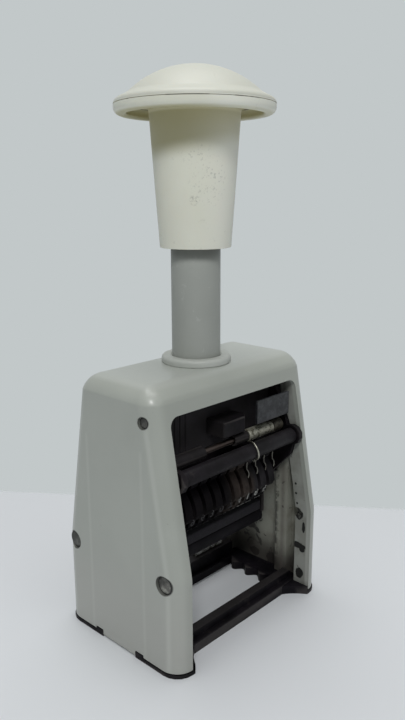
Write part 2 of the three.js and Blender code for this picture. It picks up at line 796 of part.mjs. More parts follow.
function makeIndexPlate() {
  const { front, thick, height } = indexPlate;
  const bottom = blockBottom + indexPlate.above;
  const sheet = block3(indexLeft, indexRight, -front, thick - front, bottom, bottom + height);
  const tabLeft = indexRight - indexPlate.tab;
  const tab = block3(tabLeft, indexRight, thick / 2 - front, blockFront, bottom, bottom + thick * 2);
  return sheet.add(tab);
}

// Ink pad frame, hung on the wheel axle

const padTop = axle.z - wheel.radius - pad.contactGap;
const trayTop = padTop - pad.thick;

function makeTray() {
  const low = trayTop - tray.thick;
  const round = tray.thick / 2;
  const middle = low + round;
  const inset = tray.halfWidth - round;
  const outline = [
    ...arcPoints(axle.y - inset, middle, round, quarter, quarter + half, bendSteps),
    ...arcPoints(axle.y + inset, middle, round, -quarter, quarter, bendSteps),
  ];
  return drawnX(outline, -padHalf - tray.lipWidth, padHalf + tray.lipWidth);
}

function makeFelt() {
  const { halfWidth } = pad;
  return block3(-padHalf, padHalf, axle.y - halfWidth, axle.y + halfWidth, trayTop, padTop);
}

function makePadArm(side) {
  const x0 = padArmInner;
  const x1 = x0 + padArm.thick;
  const low = trayTop - tray.thick;
  const wide = padArm.width / 2;
  const outline = [
    [axle.y - wide, axle.z], [axle.y - wide, low + wide], [axle.y - wide / 2, low],
    [axle.y + wide / 2, low], [axle.y + wide, low + wide], [axle.y + wide, axle.z],
  ];
  const foot = block3(
    padHalf + tray.lipWidth, x0 + padArm.thick / 2, axle.y - wide / 2, axle.y + wide / 2,
    low + tray.lip, trayTop - tray.lip,
  );
  const body = join(drawnX(outline, x0, x1), barX(x0, x1, axle.y, axle.z, padArm.eye), foot);
  const piece = cut(body, barX(x0 - overrun, x1 + overrun, axle.y, axle.z, padArm.bore));
  return side > 0 ? piece : piece.mirror([1, 0, 0]);
}

// Drive comb over the wheels

function makeComb() {
  const armHalf = comb.width / 2;
  const barHalf = comb.barWidth / 2;
  const top = axle.z + comb.barOut;
  const arm = (x0) => {
    const x1 = x0 + comb.thick;
    const outline = [
      [axle.y - armHalf, axle.z], [axle.y + armHalf, axle.z],
      [axle.y + barHalf, top], [axle.y - barHalf, top],
    ];
    const sheet = join(drawnX(outline, x0, x1), barX(x0, x1, axle.y, axle.z, comb.eye));
    return cut(sheet, barX(x0 - overrun, x1 + overrun, axle.y, axle.z, comb.bore));
  };
  const reach = combInner + comb.thick / 2;
  const barIn = axle.z + wheel.radius + comb.barGap;
  let body = block3(-reach, reach, axle.y - barHalf, axle.y + barHalf, barIn, top);
  body = join(body, arm(combInner), arm(-combInner - comb.thick));
  const tip = axle.z + wheel.radius + lever.gap;
  const outline = [
    [axle.y - comb.finger, top], [axle.y - comb.finger / 2, tip], [axle.y, tip],
    [axle.y + comb.finger, top],
  ];
  for (let number = 1; number <= wheelCount; number += 1) {
    const x = wheelStart(number) + wheel.drum / 2;
    body = body.add(drawnX(outline, x - comb.fingerWidth / 2, x + comb.fingerWidth / 2));
  }
  return body;
}

// Wire spring that bows over the crossbar, its tail pointing to the detent levers

function makeWire() {
  const out = crossbar.radius + wire.radius + fit;
  const x = ringCollarTo - wire.ahead;
  const points = [];
  for (let i = 0; i <= wire.bends; i += 1) {
    const turn = radians(wire.from + (wire.to - wire.from) * i / wire.bends);
    points.push(new THREE.Vector3(
      x - wire.drift * i / wire.bends,
      barY + out * Math.cos(turn), barHeight + out * Math.sin(turn),
    ));
  }
  const last = points[points.length - 1];
  const end = radians(wire.to);
  points.push(new THREE.Vector3(
    last.x, last.y - wire.tail * Math.sin(end), last.z + wire.tail * Math.cos(end),
  ));
  const section = new THREE.Shape();
  section.absarc(0, 0, wire.radius, 0, 2 * Math.PI, false);
  return solid(new THREE.ExtrudeGeometry(section, {
    extrudePath: new THREE.CatmullRomCurve3(points), steps: wire.steps,
    curveSegments: wire.sides, bevelEnabled: false,
  }));
}

// Assembly

const machine = new THREE.Group();

function addPiece(name, body, look) {
  const material = new THREE.MeshStandardMaterial(look);
  const mesh = new THREE.Mesh(geometryOf(body), material);
  mesh.name = name;
  machine.add(mesh);
}

addPiece('housing_shell', makeHousing(), finish.shell);
addPiece('base_frame', makeBase(), finish.black);
addPiece('barrel_tube', makeBarrel(), finish.shell);
addPiece('guide_collar', makeCollar(), finish.shell);
addPiece('rear_leaf', makeLeaf(), finish.steel);
for (const [label, side] of [['left', -1], ['right', 1]]) {
  addPiece(`screw_lower_front_${label}`, makeScrew(side, lowerScrew, lowerFront), finish.steel);
  addPiece(`screw_lower_back_${label}`, makeScrew(side, lowerScrew, lowerBack), finish.steel);
  addPiece(`screw_upper_front_${label}`, makeScrew(side, upperScrew, upperFront), finish.steel);
}
addPiece('return_spring', makeSpring(), finish.steel);

addPiece('plunger_rod', makeRod(), finish.steel);
addPiece('knob_body', makeKnobBody(), finish.ivory);
addPiece('knob_cap', makeKnobCap(), finish.ivory);
addPiece('head_block', makeHeadBlock(), finish.black);
addPiece('counter_block', makeCounter(), finish.black);
addPiece('index_plate', makeIndexPlate(), finish.plateGrey);
addPiece('side_plate_left', makePlate(-1), finish.blackened);
addPiece('side_plate_right', makePlate(1), finish.blackened);
addPiece('front_crossbar', makeCrossbar(), finish.black);
addPiece('wheel_axle', shaftBetweenPlates(axle.y, axle.z, axle.radius), finish.steel);
addPiece('lever_shaft', shaftBetweenPlates(leverShaftY, leverShaftZ, lever.shaft), finish.steel);
addPiece('cross_shaft', shaftBetweenPlates(shaftY, shaftZ, crossShaft.radius), finish.steel);
addPiece('shaft_collar', ringOn(ringCollar, ringCollarTo), finish.blackened);
addPiece('shaft_sleeve', ringOn(sleeve, sleeveTo), finish.steel);
addPiece('shaft_bush', ringOn(bush, bushTo), finish.brass);
addPiece('shaft_hub', ringOn(hub, hubTo), finish.black);
addPiece('wire_spring', makeWire(), finish.steel);

for (let number = 1; number <= wheelCount; number += 1) {
  const label = String(number).padStart(2, '0');
  addPiece(`numbering_wheel_${label}`, makeWheel(number), finish.blackened);
  addPiece(`detent_lever_${label}`, makeLever(number), finish.blackened);
}

addPiece('pad_tray', makeTray(), finish.black);
addPiece('felt_pad', makeFelt(), finish.felt);
addPiece('pad_arm_left', makePadArm(-1), finish.blackened);
addPiece('pad_arm_right', makePadArm(1), finish.blackened);
addPiece('drive_comb', makeComb(), finish.blackened);

export default machine;
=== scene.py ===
# Looks of the hand numbering machine: housing, knob, base and mechanism in their finishes.
# Sizes are in millimetres where nothing else is said, and turn into metres where they are used.
import json
import math
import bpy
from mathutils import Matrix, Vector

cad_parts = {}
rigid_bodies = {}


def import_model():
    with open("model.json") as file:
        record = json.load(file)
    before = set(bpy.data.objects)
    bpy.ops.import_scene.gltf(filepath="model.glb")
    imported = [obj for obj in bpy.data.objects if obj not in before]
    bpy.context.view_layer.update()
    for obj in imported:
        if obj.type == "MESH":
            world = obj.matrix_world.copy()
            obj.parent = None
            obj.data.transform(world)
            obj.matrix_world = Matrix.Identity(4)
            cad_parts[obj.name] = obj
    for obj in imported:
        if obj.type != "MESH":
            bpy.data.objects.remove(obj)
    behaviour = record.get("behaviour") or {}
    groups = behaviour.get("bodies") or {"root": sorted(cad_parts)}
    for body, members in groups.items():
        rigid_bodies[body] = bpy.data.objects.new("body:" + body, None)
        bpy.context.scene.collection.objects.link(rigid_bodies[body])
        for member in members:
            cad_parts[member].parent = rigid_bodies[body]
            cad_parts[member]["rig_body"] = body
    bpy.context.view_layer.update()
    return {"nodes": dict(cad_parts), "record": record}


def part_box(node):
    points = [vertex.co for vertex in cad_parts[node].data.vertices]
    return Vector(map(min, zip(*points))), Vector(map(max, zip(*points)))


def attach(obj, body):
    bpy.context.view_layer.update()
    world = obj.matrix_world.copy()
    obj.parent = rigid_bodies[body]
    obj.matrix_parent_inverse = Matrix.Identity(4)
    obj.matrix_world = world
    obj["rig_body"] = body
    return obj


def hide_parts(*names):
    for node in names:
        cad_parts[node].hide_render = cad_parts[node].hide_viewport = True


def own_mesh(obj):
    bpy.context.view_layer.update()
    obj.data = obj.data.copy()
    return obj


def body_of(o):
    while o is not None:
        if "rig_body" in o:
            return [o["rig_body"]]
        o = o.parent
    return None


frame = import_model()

from types import SimpleNamespace as Sizes

import bmesh
import bpy
from mathutils import Matrix, Vector

MM = 0.001
TAU = 2 * math.pi


# Sizes taken from the frame

def box_mm(node):
    """Lowest and highest corner of a node, in millimetres."""
    low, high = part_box(node)
    return Vector(low) / MM, Vector(high) / MM


def screw_at(node):
    """Side, outer face, place across and up, and head radius of a side screw."""
    low, high = box_mm(node)
    side = 1 if low.x > 0 else -1
    outer = high.x if side > 0 else low.x
    return side, outer, (low.y + high.y) / 2, (low.z + high.z) / 2, (high.y - low.y) / 2


SCREWS = [n for n in sorted(frame["nodes"]) if n.startswith("screw_")]
MOVING_ROWS = ("numbering_wheel_", "detent_lever_")
SHELL_LOW, SHELL_HIGH = box_mm("housing_shell")
WIDTH = SHELL_HIGH.x - SHELL_LOW.x
DEPTH = SHELL_HIGH.y - SHELL_LOW.y
TOP = SHELL_HIGH.z
AXLE_LOW, AXLE_HIGH = box_mm("wheel_axle")
AXLE_Y = (AXLE_LOW.y + AXLE_HIGH.y) / 2
AXLE_Z = (AXLE_LOW.z + AXLE_HIGH.z) / 2
SKIRT_LOW = box_mm("knob_body")[0].z
SEAM_Z = box_mm("knob_cap")[0].z


# Sizes of the scene's own shapes

OVER = 4          # reach of a cut beyond the face that it opens
ON_AXIS = 0.001   # radius that stands for the axis of a turned form
MERGE, FINE_MERGE = 0.002, 0.0001   # points closer than this are joined: in pieces, in cuts
FAR_X, FAR_Y = 50, 40   # reach of cuts that go through the whole housing

# Housing. kink_rings: (height above the kink, height whose lean is taken off there to round it)
SHELL = Sizes(
    kink=32, lean=10.25 / 57, corner=6.4, top_round=6.6, side_wall=2.4,
    end_wall=6.6, roof=2.8, window_half=30.5, window_top=80, window_corner=3.2,
    crease=13, lift=0.9, tab_lift=1.8, tab_end=11.7, foot_reach=8, steps=12,
    least_corner=0.4, barrel_hole=8.3, roof_cut=8, notch_gap=0.01, window_steps=8,
    edge=0.35, sharp=32,
    kink_rings=((-1.2, 0), (-0.4, 0.06), (0.4, 0.06), (1.2, 0)),
)
RIB = Sizes(inner=31, outer=34.9, near=11, far=16.2, foot=3.4, bend=68, tip=14.6, top=83)

# Side screws. The lower ones have heads with a radius over large. crown_turns: radians over the crown
HEAD = Sizes(
    large=2.5, recess=0.9, small_recess=0.8, gap=0.12, far=45,
    hole=1.8, small_hole=1.4, hole_start=25, hole_end=37, hole_sides=24,
    sunk=0.3, thick=0.28, crown=0.2, crown_turns=(0.3, 0.6, 0.9, 1.2, 1.5),
    shank=3.9, shank_share=0.5, edge=0.08, sides=40, sharp=40,
)

# Barrel and collar
BARREL = Sizes(
    bore=4.3, radius=8, flange=10.4, flange_thick=2.2, well=6.8, well_foot=92,
    lip=((8, 0.5), (7.85, 0.12), (7.6, 0), (6.8, 0)), sides=128, sharp=30,
)
COLLAR = Sizes(
    bore=8.06, foot=11.3, radius=11.5, foot_round=0.25, round=1.15, round_steps=8,
    top=8.6, lead=0.35,
)

# Knob: (radius, height above the skirt's foot), from the boss over the skirt's inside to its outside
BOSS_TOP, RIM_TOP, CAP_FOOT = 41.1, 47.3, 47.45
SKIRT = (
    (4.2, BOSS_TOP), (4.2, 23.7), (6.1, 23.7), (6.1, 41.3), (9.5, 41.3), (9.5, 0.3), (9.8, 0),
    (11.1, 0), (11.32, 0.1), (11.42, 0.35), (12.7, 18.6), (14.0, 37.7), (14.2, 40.7),
)
RIM_HOLLOW = (
    (14.7, 42.9), (15.8, 43.9), (17.4, 44.1), (19.4, 43.8), (20.5, 43.1), (21.0, 42.2), (21.1, 41.4),
)
# Rounds of the rim's lower lip: centre and its height, radius, start and end in degrees, steps
RIM_LIP = ((22.1, 41.1, 1.0, 180, 255, 6), (22.9, 42.2, 2.1, 272, 352, 12))
RIM_STEP = Sizes(seam=0.15, edge=0.3, ledge=0.9, floor=16, cap_floor=16.15)
# Edge of the cap: (way in from the rim, way up from the seam)
CAP_EDGE = (
    (0.9, 0), (0, 0), (0.02, 0.25), (0.12, 0.6), (0.33, 1.0), (0.65, 1.35), (1.1, 1.68),
    (1.7, 1.98), (2.4, 2.3), (3.2, 2.73),
)
DOME = Sizes(sphere=30.2, radius=20.7, steps=26)
KNOB_SIDES, SKIRT_SHARP, CAP_SHARP = 160, 30, 40

# Mechanism: width of the rounded edges
SOFTENED = {
    "base_frame": 0.45, "head_block": 0.3, "counter_block": 0.3, "index_plate": 0.12,
    "side_plate_left": 0.25, "side_plate_right": 0.25, "pad_tray": 0.4, "felt_pad": 0.35,
    "drive_comb": 0.15, "rear_leaf": 0.1,
}
ROW_EDGE = 0.16    # the same on wheels and levers
SOFT_SHARP = 24
CROSSBAR = Sizes(journal=2.1, journal_share=0.72, edge=0.25, edge_share=0.95, sides=72)
SHAFT = Sizes(edge=0.15, edge_share=0.93, sides=40)
BAR_SHARP = 40
RING = Sizes(bore=1.25, edge=0.18, sides=56, sharp=35)
DIGIT = Sizes(height=4.1, lift=0.16, faces=10, across=1.55, out=9.34, shift=7, steps=3)

# Wires, and the marks that they pass: the small ones from the middle of their lever
WIRE_STEPS, WIRE_SHARP = 6, 35
SMALL_WIRE = Sizes(
    first=7, last=10, radius=0.19, sides=8,
    marks=(
        (-1.1, -18.0, 56.1), (-1.2, -17.9, 54.6), (-0.7, -17.6, 53.2),
        (0.3, -17.3, 52.4), (0.5, -17.5, 51.2), (-0.1, -17.7, 50.2),
    ),
)
BOW = Sizes(
    radius=0.29, sides=14, stand=0.5, inset=0.5, sway=1.2,
    start=60, sweep=174, steps=8, tail=(0, 1.7, -1.2),
)

# Camera, fitted to the photograph
CAMERA = Sizes(
    place=(-163.6, -156.2, 142.8), azimuth=-46.85, pitch=13.36, roll=-0.20,
    lens=34.9, sensor=36, near=5,
)

# Table: half its width in metres, the camera's heading over it, and where its far edge fades out
TABLE = Sizes(half=2.4, heading=(0.8025, 0.5966), edge=(81.5, 85.5))

# Lamps: name, place, target and size in metres, watts
LAMPS = (
    ("overhead", (0.1, 0.1, 1.6), (0, 0, 0.08), 1.0, 13.8),
    ("front", (-0.68, -0.65, 1.08), (0, 0, 0.12), 0.28, 6.9),
)
ROOM_STRENGTH = 0.22

# Where the housing's skin ends and its inside begins: depth behind its side, end and roof, and their sum
SKIN = Sizes(side=(2.2, 2.35), end=(1.4, 2.0), roof=(2.2, 2.6), sum=(8.6, 9.4))

# Where the housing's paint changes, each from the first place to the second
PAINT = Sizes(
    foot=(44, 8), witness_top=(71, 69), side_face=(36.7, 36.95), roof=(1.6, 0.4),
    end_face=(0.9, 0.3), end_middle=(35, 31), corner_top=(82, 74), corner_side=(33.5, 35),
    jamb=(6.5, 9), dirt=(17, 6),
)
CORNER_LIGHT = Sizes(behind=4.2, half=1.3)
# Reach of the grime and painted shade round the screw heads
SCREW_SHADE_AND_GRIME = Sizes(core=0.1, reach=0.4)
CREASE_LIGHT = Sizes(y=12.6, half=1.1)   # painted light lines down the sides, where a shallow crease catches the light
STRIPE = Sizes(y=14.2, half=1.5)    # dark stripes inside, along the ribs
RUBBED = Sizes(y=-10.9, half=1.9)   # ragged dark line inside, where the carriage rubs

# Ink stains on the window jambs: place across and up, width and height, 1 for a ring
JAMB_STAINS = (
    (-21.7, 29.6, 4.2, 3.8, 1), (-24.1, 25.2, 1.3, 4.4, 0), (-22.4, 17.5, 6.6, 2.4, 0),
    (-23.6, 16.6, 2.6, 2.6, 0), (-22.8, 6.6, 3.4, 4.4, 0), (-20.1, 41.2, 0.9, 1.0, 0),
    (-20.4, 37.5, 1.0, 0.9, 0), (-21.0, 33.8, 0.8, 0.8, 0), (-6.6, 4.6, 4.6, 5.6, 0),
    (-9.0, 9.0, 2.0, 3.0, 0), (1.5, 5.0, 5.0, 3.6, 0),
)

# Marks on the skirt: place and radius
SPECK_PATCHES = (((-6, -11, 145), 8), ((-9.4, -9.2, 154.5), 6), ((-3, -12, 150), 5))
SMUDGE = ((-9.2, -8.4, 141), 1.9)
RIGHTWARD = (0.684, 0.729)   # the camera's right, as shares of X and of -Y

# Where the knob's plastic changes: a painted shadow of the rim below the seam, a tone above it, and painted
# light rightward
RIM_SHADOW = Sizes(low=(15.5, 9.5), high=(2.2, 3), across=(-6, 13), slant=0.18)
SEAM_LINE = Sizes(below=0.08, half=0.24)
CAP_TONE, RIGHT_LIGHT = (-0.1, 0.5), (0.0, 12)
REST_SHADOW = (4.8, 1.4)   # painted shadow on the barrel, below the skirt's foot at rest

# Where wheels and digits change along X, and screws with height and towards the back
CHANGE = Sizes(brown=(-4, 3), grey=(9, 12), shine=(-6, 12), inked=(12, 3), high=(60, 70), rear=(0, 10))


# Colours

def linear(colour):
    """Turns a colour of screen values, 0 to 255, into linear values."""
    out = []
    for value in colour:
        share = value / 255
        out.append(share / 12.92 if share <= 0.04045 else ((share + 0.055) / 1.055) ** 2.4)
    return (*out, 1.0)


# Materials

class Nodes:
    """Adds and links the shader nodes of a material, by its name, or of a world."""

    def __init__(self, name=None, world=None):
        owner = world or bpy.data.materials.new(name)
        owner.use_nodes = True
        self.tree = owner.node_tree
        if not world:
            self.material = owner
            self.shader = self.tree.nodes["Principled BSDF"]
            self.coords = self.add("ShaderNodeTexCoord").outputs["Object"]

    def put(self, socket, value):
        """Sets an input to a value, or links an output to it."""
        if isinstance(value, (int, float, tuple)):
            socket.default_value = value
        else:
            self.tree.links.new(value, socket)

    def add(self, kind, inputs=(), **settings):
        """New node with its settings, and with a value or a link at each of the given inputs."""
        node = self.tree.nodes.new(kind)
        for key, value in settings.items():
            setattr(node, key, value)
        for key, value in dict(inputs).items():
            self.put(node.inputs[key], value)
        return node

    def set(self, name, value):
        """Sets or links an input of the material's shader."""
        self.put(self.shader.inputs[name], value)

    def noise(self, scale, detail, roughness=0.55, distortion=0.0, coords=None):
        node = self.add("ShaderNodeTexNoise", {
            "Scale": scale, "Detail": detail, "Roughness": roughness, "Distortion": distortion,
            "Vector": coords or self.coords,
        })
        return node.outputs["Fac"]

    def ramp(self, source, low, high, out_low=0.0, out_high=1.0):
        """Smooth step of a value from one end to the other, which may be the lower one."""
        node = self.add("ShaderNodeMapRange", {
            "Value": source, "From Min": low, "From Max": high, "To Min": out_low, "To Max": out_high,
        }, clamp=True, interpolation_type="SMOOTHSTEP")
        return node.outputs["Result"]

    def ramp_mm(self, source, low, high, out_low=0.0, out_high=1.0):
        """Smooth step of a place or a distance between two values in millimetres."""
        return self.ramp(source, low * MM, high * MM, out_low, out_high)

    def patches(self, scale, detail, low, high, roughness=0.55, distortion=0.0):
        """Soft patches: 0 where a noise is under low and 1 where it is over high."""
        return self.ramp(self.noise(scale, detail, roughness, distortion), low, high)

    def uneven(self, scale, detail, least, most):
        """Roughness that drifts between two values."""
        self.set("Roughness", self.ramp(self.noise(scale, detail), 0.3, 0.7, least, most))

    def math(self, operation, first, second=0.0):
        return self.add("ShaderNodeMath", {0: first, 1: second}, operation=operation).outputs["Value"]

    def plus(self, first, second):
        return self.math("ADD", first, second)

    def minus(self, first, second):
        return self.math("SUBTRACT", first, second)

    def times(self, first, second):
        return self.math("MULTIPLY", first, second)

    def absolute(self, value):
        return self.math("ABSOLUTE", value)

    def mix(self, factor, first, second):
        """Mix of two colours, as outputs or screen values. 6, 7 and 2 are the node's colour sockets."""
        first, second = (linear(c) if isinstance(c, tuple) else c for c in (first, second))
        inputs = {0: factor, 6: first, 7: second}
        return self.add("ShaderNodeMix", inputs, data_type="RGBA", blend_type="MIX").outputs[2]

    def cover(self, under, mask, strength, over):
        """A colour laid over another one where the mask is 1, at a strength."""
        return self.mix(self.times(mask, strength), under, over)

    def axis(self, name):
        return self.add("ShaderNodeSeparateXYZ", {"Vector": self.coords}).outputs[name]

    def bump(self, height, strength, distance):
        """Relief of a height from 0 to 1 over a distance in metres."""
        node = self.add("ShaderNodeBump", {"Strength": strength, "Distance": distance, "Height": height})
        self.set("Normal", node.outputs["Normal"])

    def cavity(self, distance):
        """1 in open places and towards 0 in corners."""
        node = self.add("ShaderNodeAmbientOcclusion", {"Distance": distance}, samples=6, only_local=False)
        return node.outputs["AO"]

    def line_at(self, axis, places, half_width):
        """Thin soft lines across an axis at the given places in millimetres."""
        whole = 0.0
        for place in places:
            gap = self.absolute(self.minus(self.axis(axis), place * MM))
            whole = self.math("MAXIMUM", self.ramp_mm(gap, half_width, 0.0), whole)
        return whole

    def ball(self, place, radius, core=0.4):
        """1 near a place in millimetres and 0 beyond the radius."""
        inputs = {0: self.coords, 1: tuple(c * MM for c in place)}
        gap = self.add("ShaderNodeVectorMath", inputs, operation="DISTANCE")
        return self.ramp_mm(gap.outputs["Value"], radius, radius * core)

    def edge(self):
        """Pointiness: above a half on outer edges."""
        return self.add("ShaderNodeNewGeometry").outputs["Pointiness"]


def inside_mask(n):
    """1 on the faces behind the housing's outer skin, and their depth behind it in metres."""
    beside = n.minus(WIDTH / 2 * MM, n.absolute(n.axis("X")))
    z = n.axis("Z")
    rise = n.math("MAXIMUM", n.minus(z, SHELL.kink * MM), 0.0)
    front = n.minus(DEPTH / 2 * MM, n.times(rise, SHELL.lean))
    behind = n.minus(front, n.absolute(n.axis("Y")))
    under = n.minus(TOP * MM, z)
    in_x = n.ramp_mm(beside, *SKIN.side)
    in_y = n.ramp_mm(behind, *SKIN.end)
    in_z = n.ramp_mm(under, *SKIN.roof)
    off_corner = n.ramp_mm(n.plus(n.plus(beside, behind), under), *SKIN.sum)
    inside = n.times(n.times(in_x, in_y), n.times(in_z, off_corner))
    return inside, behind


def stain_at(n, y, z, wide, tall, hollow):
    """Soft oval mark with a ragged outline at one place of the jambs."""
    wave = n.times(n.minus(n.noise(380, 5, 0.65), 0.5), 2.6)
    across = n.math("DIVIDE", n.minus(n.axis("Y"), y * MM), wide / 2 * MM)
    along = n.math("DIVIDE", n.minus(n.axis("Z"), z * MM), tall / 2 * MM)
    span = n.plus(n.plus(n.times(across, across), n.times(along, along)), wave)
    mark = n.ramp(span, 1.15, 0.8)
    if hollow:
        mark = n.times(mark, n.ramp(span, 0.1, 0.5, 0.45, 1.0))
    return mark


def worn_inside(n, inside, behind):
    """Paint of the housing's inner faces: rubbed, stained with ink, with grime and painted shade that
    darken them deeper in and towards the foot.
    """
    z = n.axis("Z")
    past_jamb = n.ramp_mm(behind, *PAINT.jamb)
    deep = n.times(past_jamb, inside)
    worn = n.mix(n.patches(110, 5, 0.35, 0.65, 0.6), (156, 158, 152), (136, 137, 130))
    # Grime and painted shade: the wall deeper inside is darker and browner.
    wall = n.mix(n.patches(75, 4, 0.35, 0.65, 0.6), (148, 149, 138), (114, 110, 99))
    worn = n.cover(worn, deep, 0.85, wall)
    ink = n.patches(140, 5, 0.6, 0.65, 0.6, 1.2)
    worn = n.cover(worn, n.times(ink, deep), 0.8, (30, 26, 28))
    for stain in JAMB_STAINS:
        worn = n.mix(stain_at(n, *stain), worn, (9, 8, 10))
    ragged = n.patches(300, 5, 0.44, 0.54, 0.7)
    rubbed = n.times(n.line_at("Y", (RUBBED.y,), RUBBED.half), ragged)
    worn = n.cover(worn, rubbed, 0.85, (30, 27, 28))
    # Grime and painted shade: darker towards the foot.
    dirt = n.times(n.ramp_mm(z, *PAINT.dirt), past_jamb)
    worn = n.cover(worn, dirt, 0.8, (42, 36, 35))
    stripe = n.line_at("Y", (-STRIPE.y, STRIPE.y), STRIPE.half)
    worn = n.cover(worn, stripe, 0.45, (92, 84, 80))
    pits = n.patches(520, 3, 0.66, 0.72)
    return n.cover(worn, pits, 0.6, (52, 48, 46))


def make_enamel():
    """Grey paint of the housing, with its wear, grime and painted shade inside, grime and painted shade at
    the screws, painted light on its roof and side creases, painted shade on its end faces and a painted
    highlight on its corners.
    """
    n = Nodes("grey_enamel")
    z, from_middle = n.axis("Z"), n.absolute(n.axis("X"))
    inside, behind = inside_mask(n)
    outside = n.minus(1.0, inside)
    paint = n.mix(n.patches(28, 3, 0.3, 0.7), (165, 169, 161), (172, 176, 168))
    paint = n.mix(n.ramp_mm(z, *PAINT.foot, 0.0, 0.55), paint, (176, 175, 170))
    paint = n.cover(paint, inside, 0.95, worn_inside(n, inside, behind))
    specks = n.patches(900, 2, 0.74, 0.78)
    paint = n.cover(paint, specks, 0.3, (112, 114, 108))
    # Grime and painted shade in the recess round each screw head.
    for node in SCREWS:
        _, outer, y, up, head = screw_at(node)
        reach = head + SCREW_SHADE_AND_GRIME.reach
        shade_and_grime = n.ball((outer, y, up), reach, (head + SCREW_SHADE_AND_GRIME.core) / reach)
        paint = n.cover(paint, shade_and_grime, 0.75, (58, 58, 54))
    # Painted light: lighter lines down the sides where a shallow crease catches the light.
    crease_light = n.line_at("Y", (-CREASE_LIGHT.y, CREASE_LIGHT.y), CREASE_LIGHT.half)
    crease_light = n.times(crease_light, n.ramp_mm(z, *PAINT.witness_top))
    crease_light = n.times(crease_light, n.ramp_mm(from_middle, *PAINT.side_face))
    paint = n.cover(paint, crease_light, 0.3, (190, 194, 186))
    # Painted light: the roof is lighter where the lamp above falls on it.
    roof = n.ramp_mm(z, *(TOP - below for below in PAINT.roof))
    paint = n.cover(paint, roof, 0.7, (183, 187, 181))
    # Painted shade: the end faces are darker than the sides.
    face = n.times(n.ramp_mm(behind, *PAINT.end_face), n.ramp_mm(from_middle, *PAINT.end_middle))
    paint = n.cover(paint, face, 0.3, (146, 149, 141))
    # Painted highlight along the rounded front corners.
    away = n.absolute(n.minus(behind, CORNER_LIGHT.behind * MM))
    corner_highlight = n.times(n.ramp_mm(away, CORNER_LIGHT.half, 0.0), outside)
    corner_highlight = n.times(corner_highlight, n.ramp_mm(z, *PAINT.corner_top))
    corner_highlight = n.times(corner_highlight, n.ramp_mm(from_middle, *PAINT.corner_side))
    paint = n.cover(paint, corner_highlight, 0.3, (200, 203, 196))
    n.set("Base Color", paint)
    n.uneven(60, 3, 0.4, 0.5)
    n.bump(n.noise(650, 2), 0.05, 0.0004)
    n.set("Coat Weight", n.times(outside, 0.4))
    n.set("Specular IOR Level", n.ramp(outside, 0.0, 1.0, 0.12, 0.5))
    n.set("Coat Roughness", 0.22)
    return n.material


def make_round_enamel(name, dark, light):
    """Grey paint of the barrel and its collar, with a painted shadow band below where the skirt's foot
    rests.
    """
    n = Nodes(name)
    paint = n.mix(n.patches(40, 3, 0.3, 0.7), dark, light)
    scratches = n.patches(240, 5, 0.62, 0.68, 0.6, 1.5)
    paint = n.cover(paint, scratches, 0.25, (192, 195, 190))
    # Painted shadow of the skirt on the barrel, below its foot at rest.
    shade_and_grime = n.ramp_mm(n.axis("Z"), *(SKIRT_LOW - below for below in REST_SHADOW))
    paint = n.cover(paint, shade_and_grime, 0.62, (84, 86, 82))
    n.set("Base Color", paint)
    n.uneven(90, 3, 0.42, 0.55)
    n.bump(n.noise(900, 2), 0.05, 0.0003)
    return n.material


def make_ivory():
    """Yellowed plastic of the knob: a painted shadow under the rim, painted shade in its hollow, painted
    light to the right, specked and scuffed on the skirt.
    """
    n = Nodes("ivory_plastic")
    z = n.axis("Z")
    right_x, right_y = RIGHTWARD
    rightward = n.minus(n.times(n.axis("X"), right_x), n.times(n.axis("Y"), right_y))
    tone = n.mix(n.patches(35, 3, 0.35, 0.65), (237, 238, 223), (232, 232, 216))
    # Painted light: lighter towards the camera's right.
    tone = n.mix(n.ramp_mm(rightward, *RIGHT_LIGHT), tone, (246, 246, 233))
    tone = n.mix(n.ramp_mm(z, *(SEAM_Z + above for above in CAP_TONE)), tone, (203, 204, 192))
    # Painted shade: darker and yellower in the hollow under the rim, by ambient occlusion.
    hollow = n.ramp(n.cavity(0.02), 0.85, 0.35)
    tone = n.cover(tone, hollow, 0.85, (186, 176, 120))
    # Painted shadow cast by the rim on the top of the skirt, reaching lower at the left.
    slanted = n.minus(z, n.times(rightward, RIM_SHADOW.slant))
    neck = n.ramp_mm(slanted, *(SEAM_Z - below for below in RIM_SHADOW.low))
    neck = n.times(neck, n.ramp_mm(z, *(SEAM_Z - below for below in RIM_SHADOW.high)))
    neck = n.times(neck, n.ramp_mm(rightward, *RIM_SHADOW.across, 0.85, 0.45))
    tone = n.mix(neck, tone, (172, 166, 124))
    specks = n.patches(1300, 3, 0.59, 0.65, 0.6)
    for patch in SPECK_PATCHES:
        tone = n.cover(tone, n.times(n.ball(*patch), specks), 0.2, (120, 122, 110))
    smudge = n.times(n.ball(*SMUDGE), n.patches(900, 4, 0.47, 0.57, 0.7))
    tone = n.cover(tone, smudge, 0.5, (120, 120, 106))
    few = n.patches(330, 3, 0.72, 0.76, 0.6)
    tone = n.cover(tone, few, 0.2, (140, 138, 124))
    scuffs = n.patches(170, 6, 0.63, 0.67, 0.7, 2.0)
    tone = n.cover(tone, scuffs, 0.15, (170, 170, 156))
    broken = n.patches(95, 3, 0.47, 0.56, 0.6)
    seam = n.times(n.line_at("Z", (SEAM_Z - SEAM_LINE.below,), SEAM_LINE.half), broken)
    tone = n.cover(tone, seam, 0.85, (70, 60, 44))
    n.set("Base Color", tone)
    n.uneven(120, 4, 0.44, 0.54)
    n.bump(n.noise(800, 2), 0.04, 0.0003)
    n.set("Subsurface Weight", 0.08)
    n.set("Subsurface Radius", (0.004, 0.003, 0.002))
    return n.material


def rubbed_edges(n, colour, strength):
    """A colour with the outer edges rubbed lighter."""
    return n.cover(colour, n.ramp(n.edge(), 0.53, 0.62), strength, (96, 92, 90))


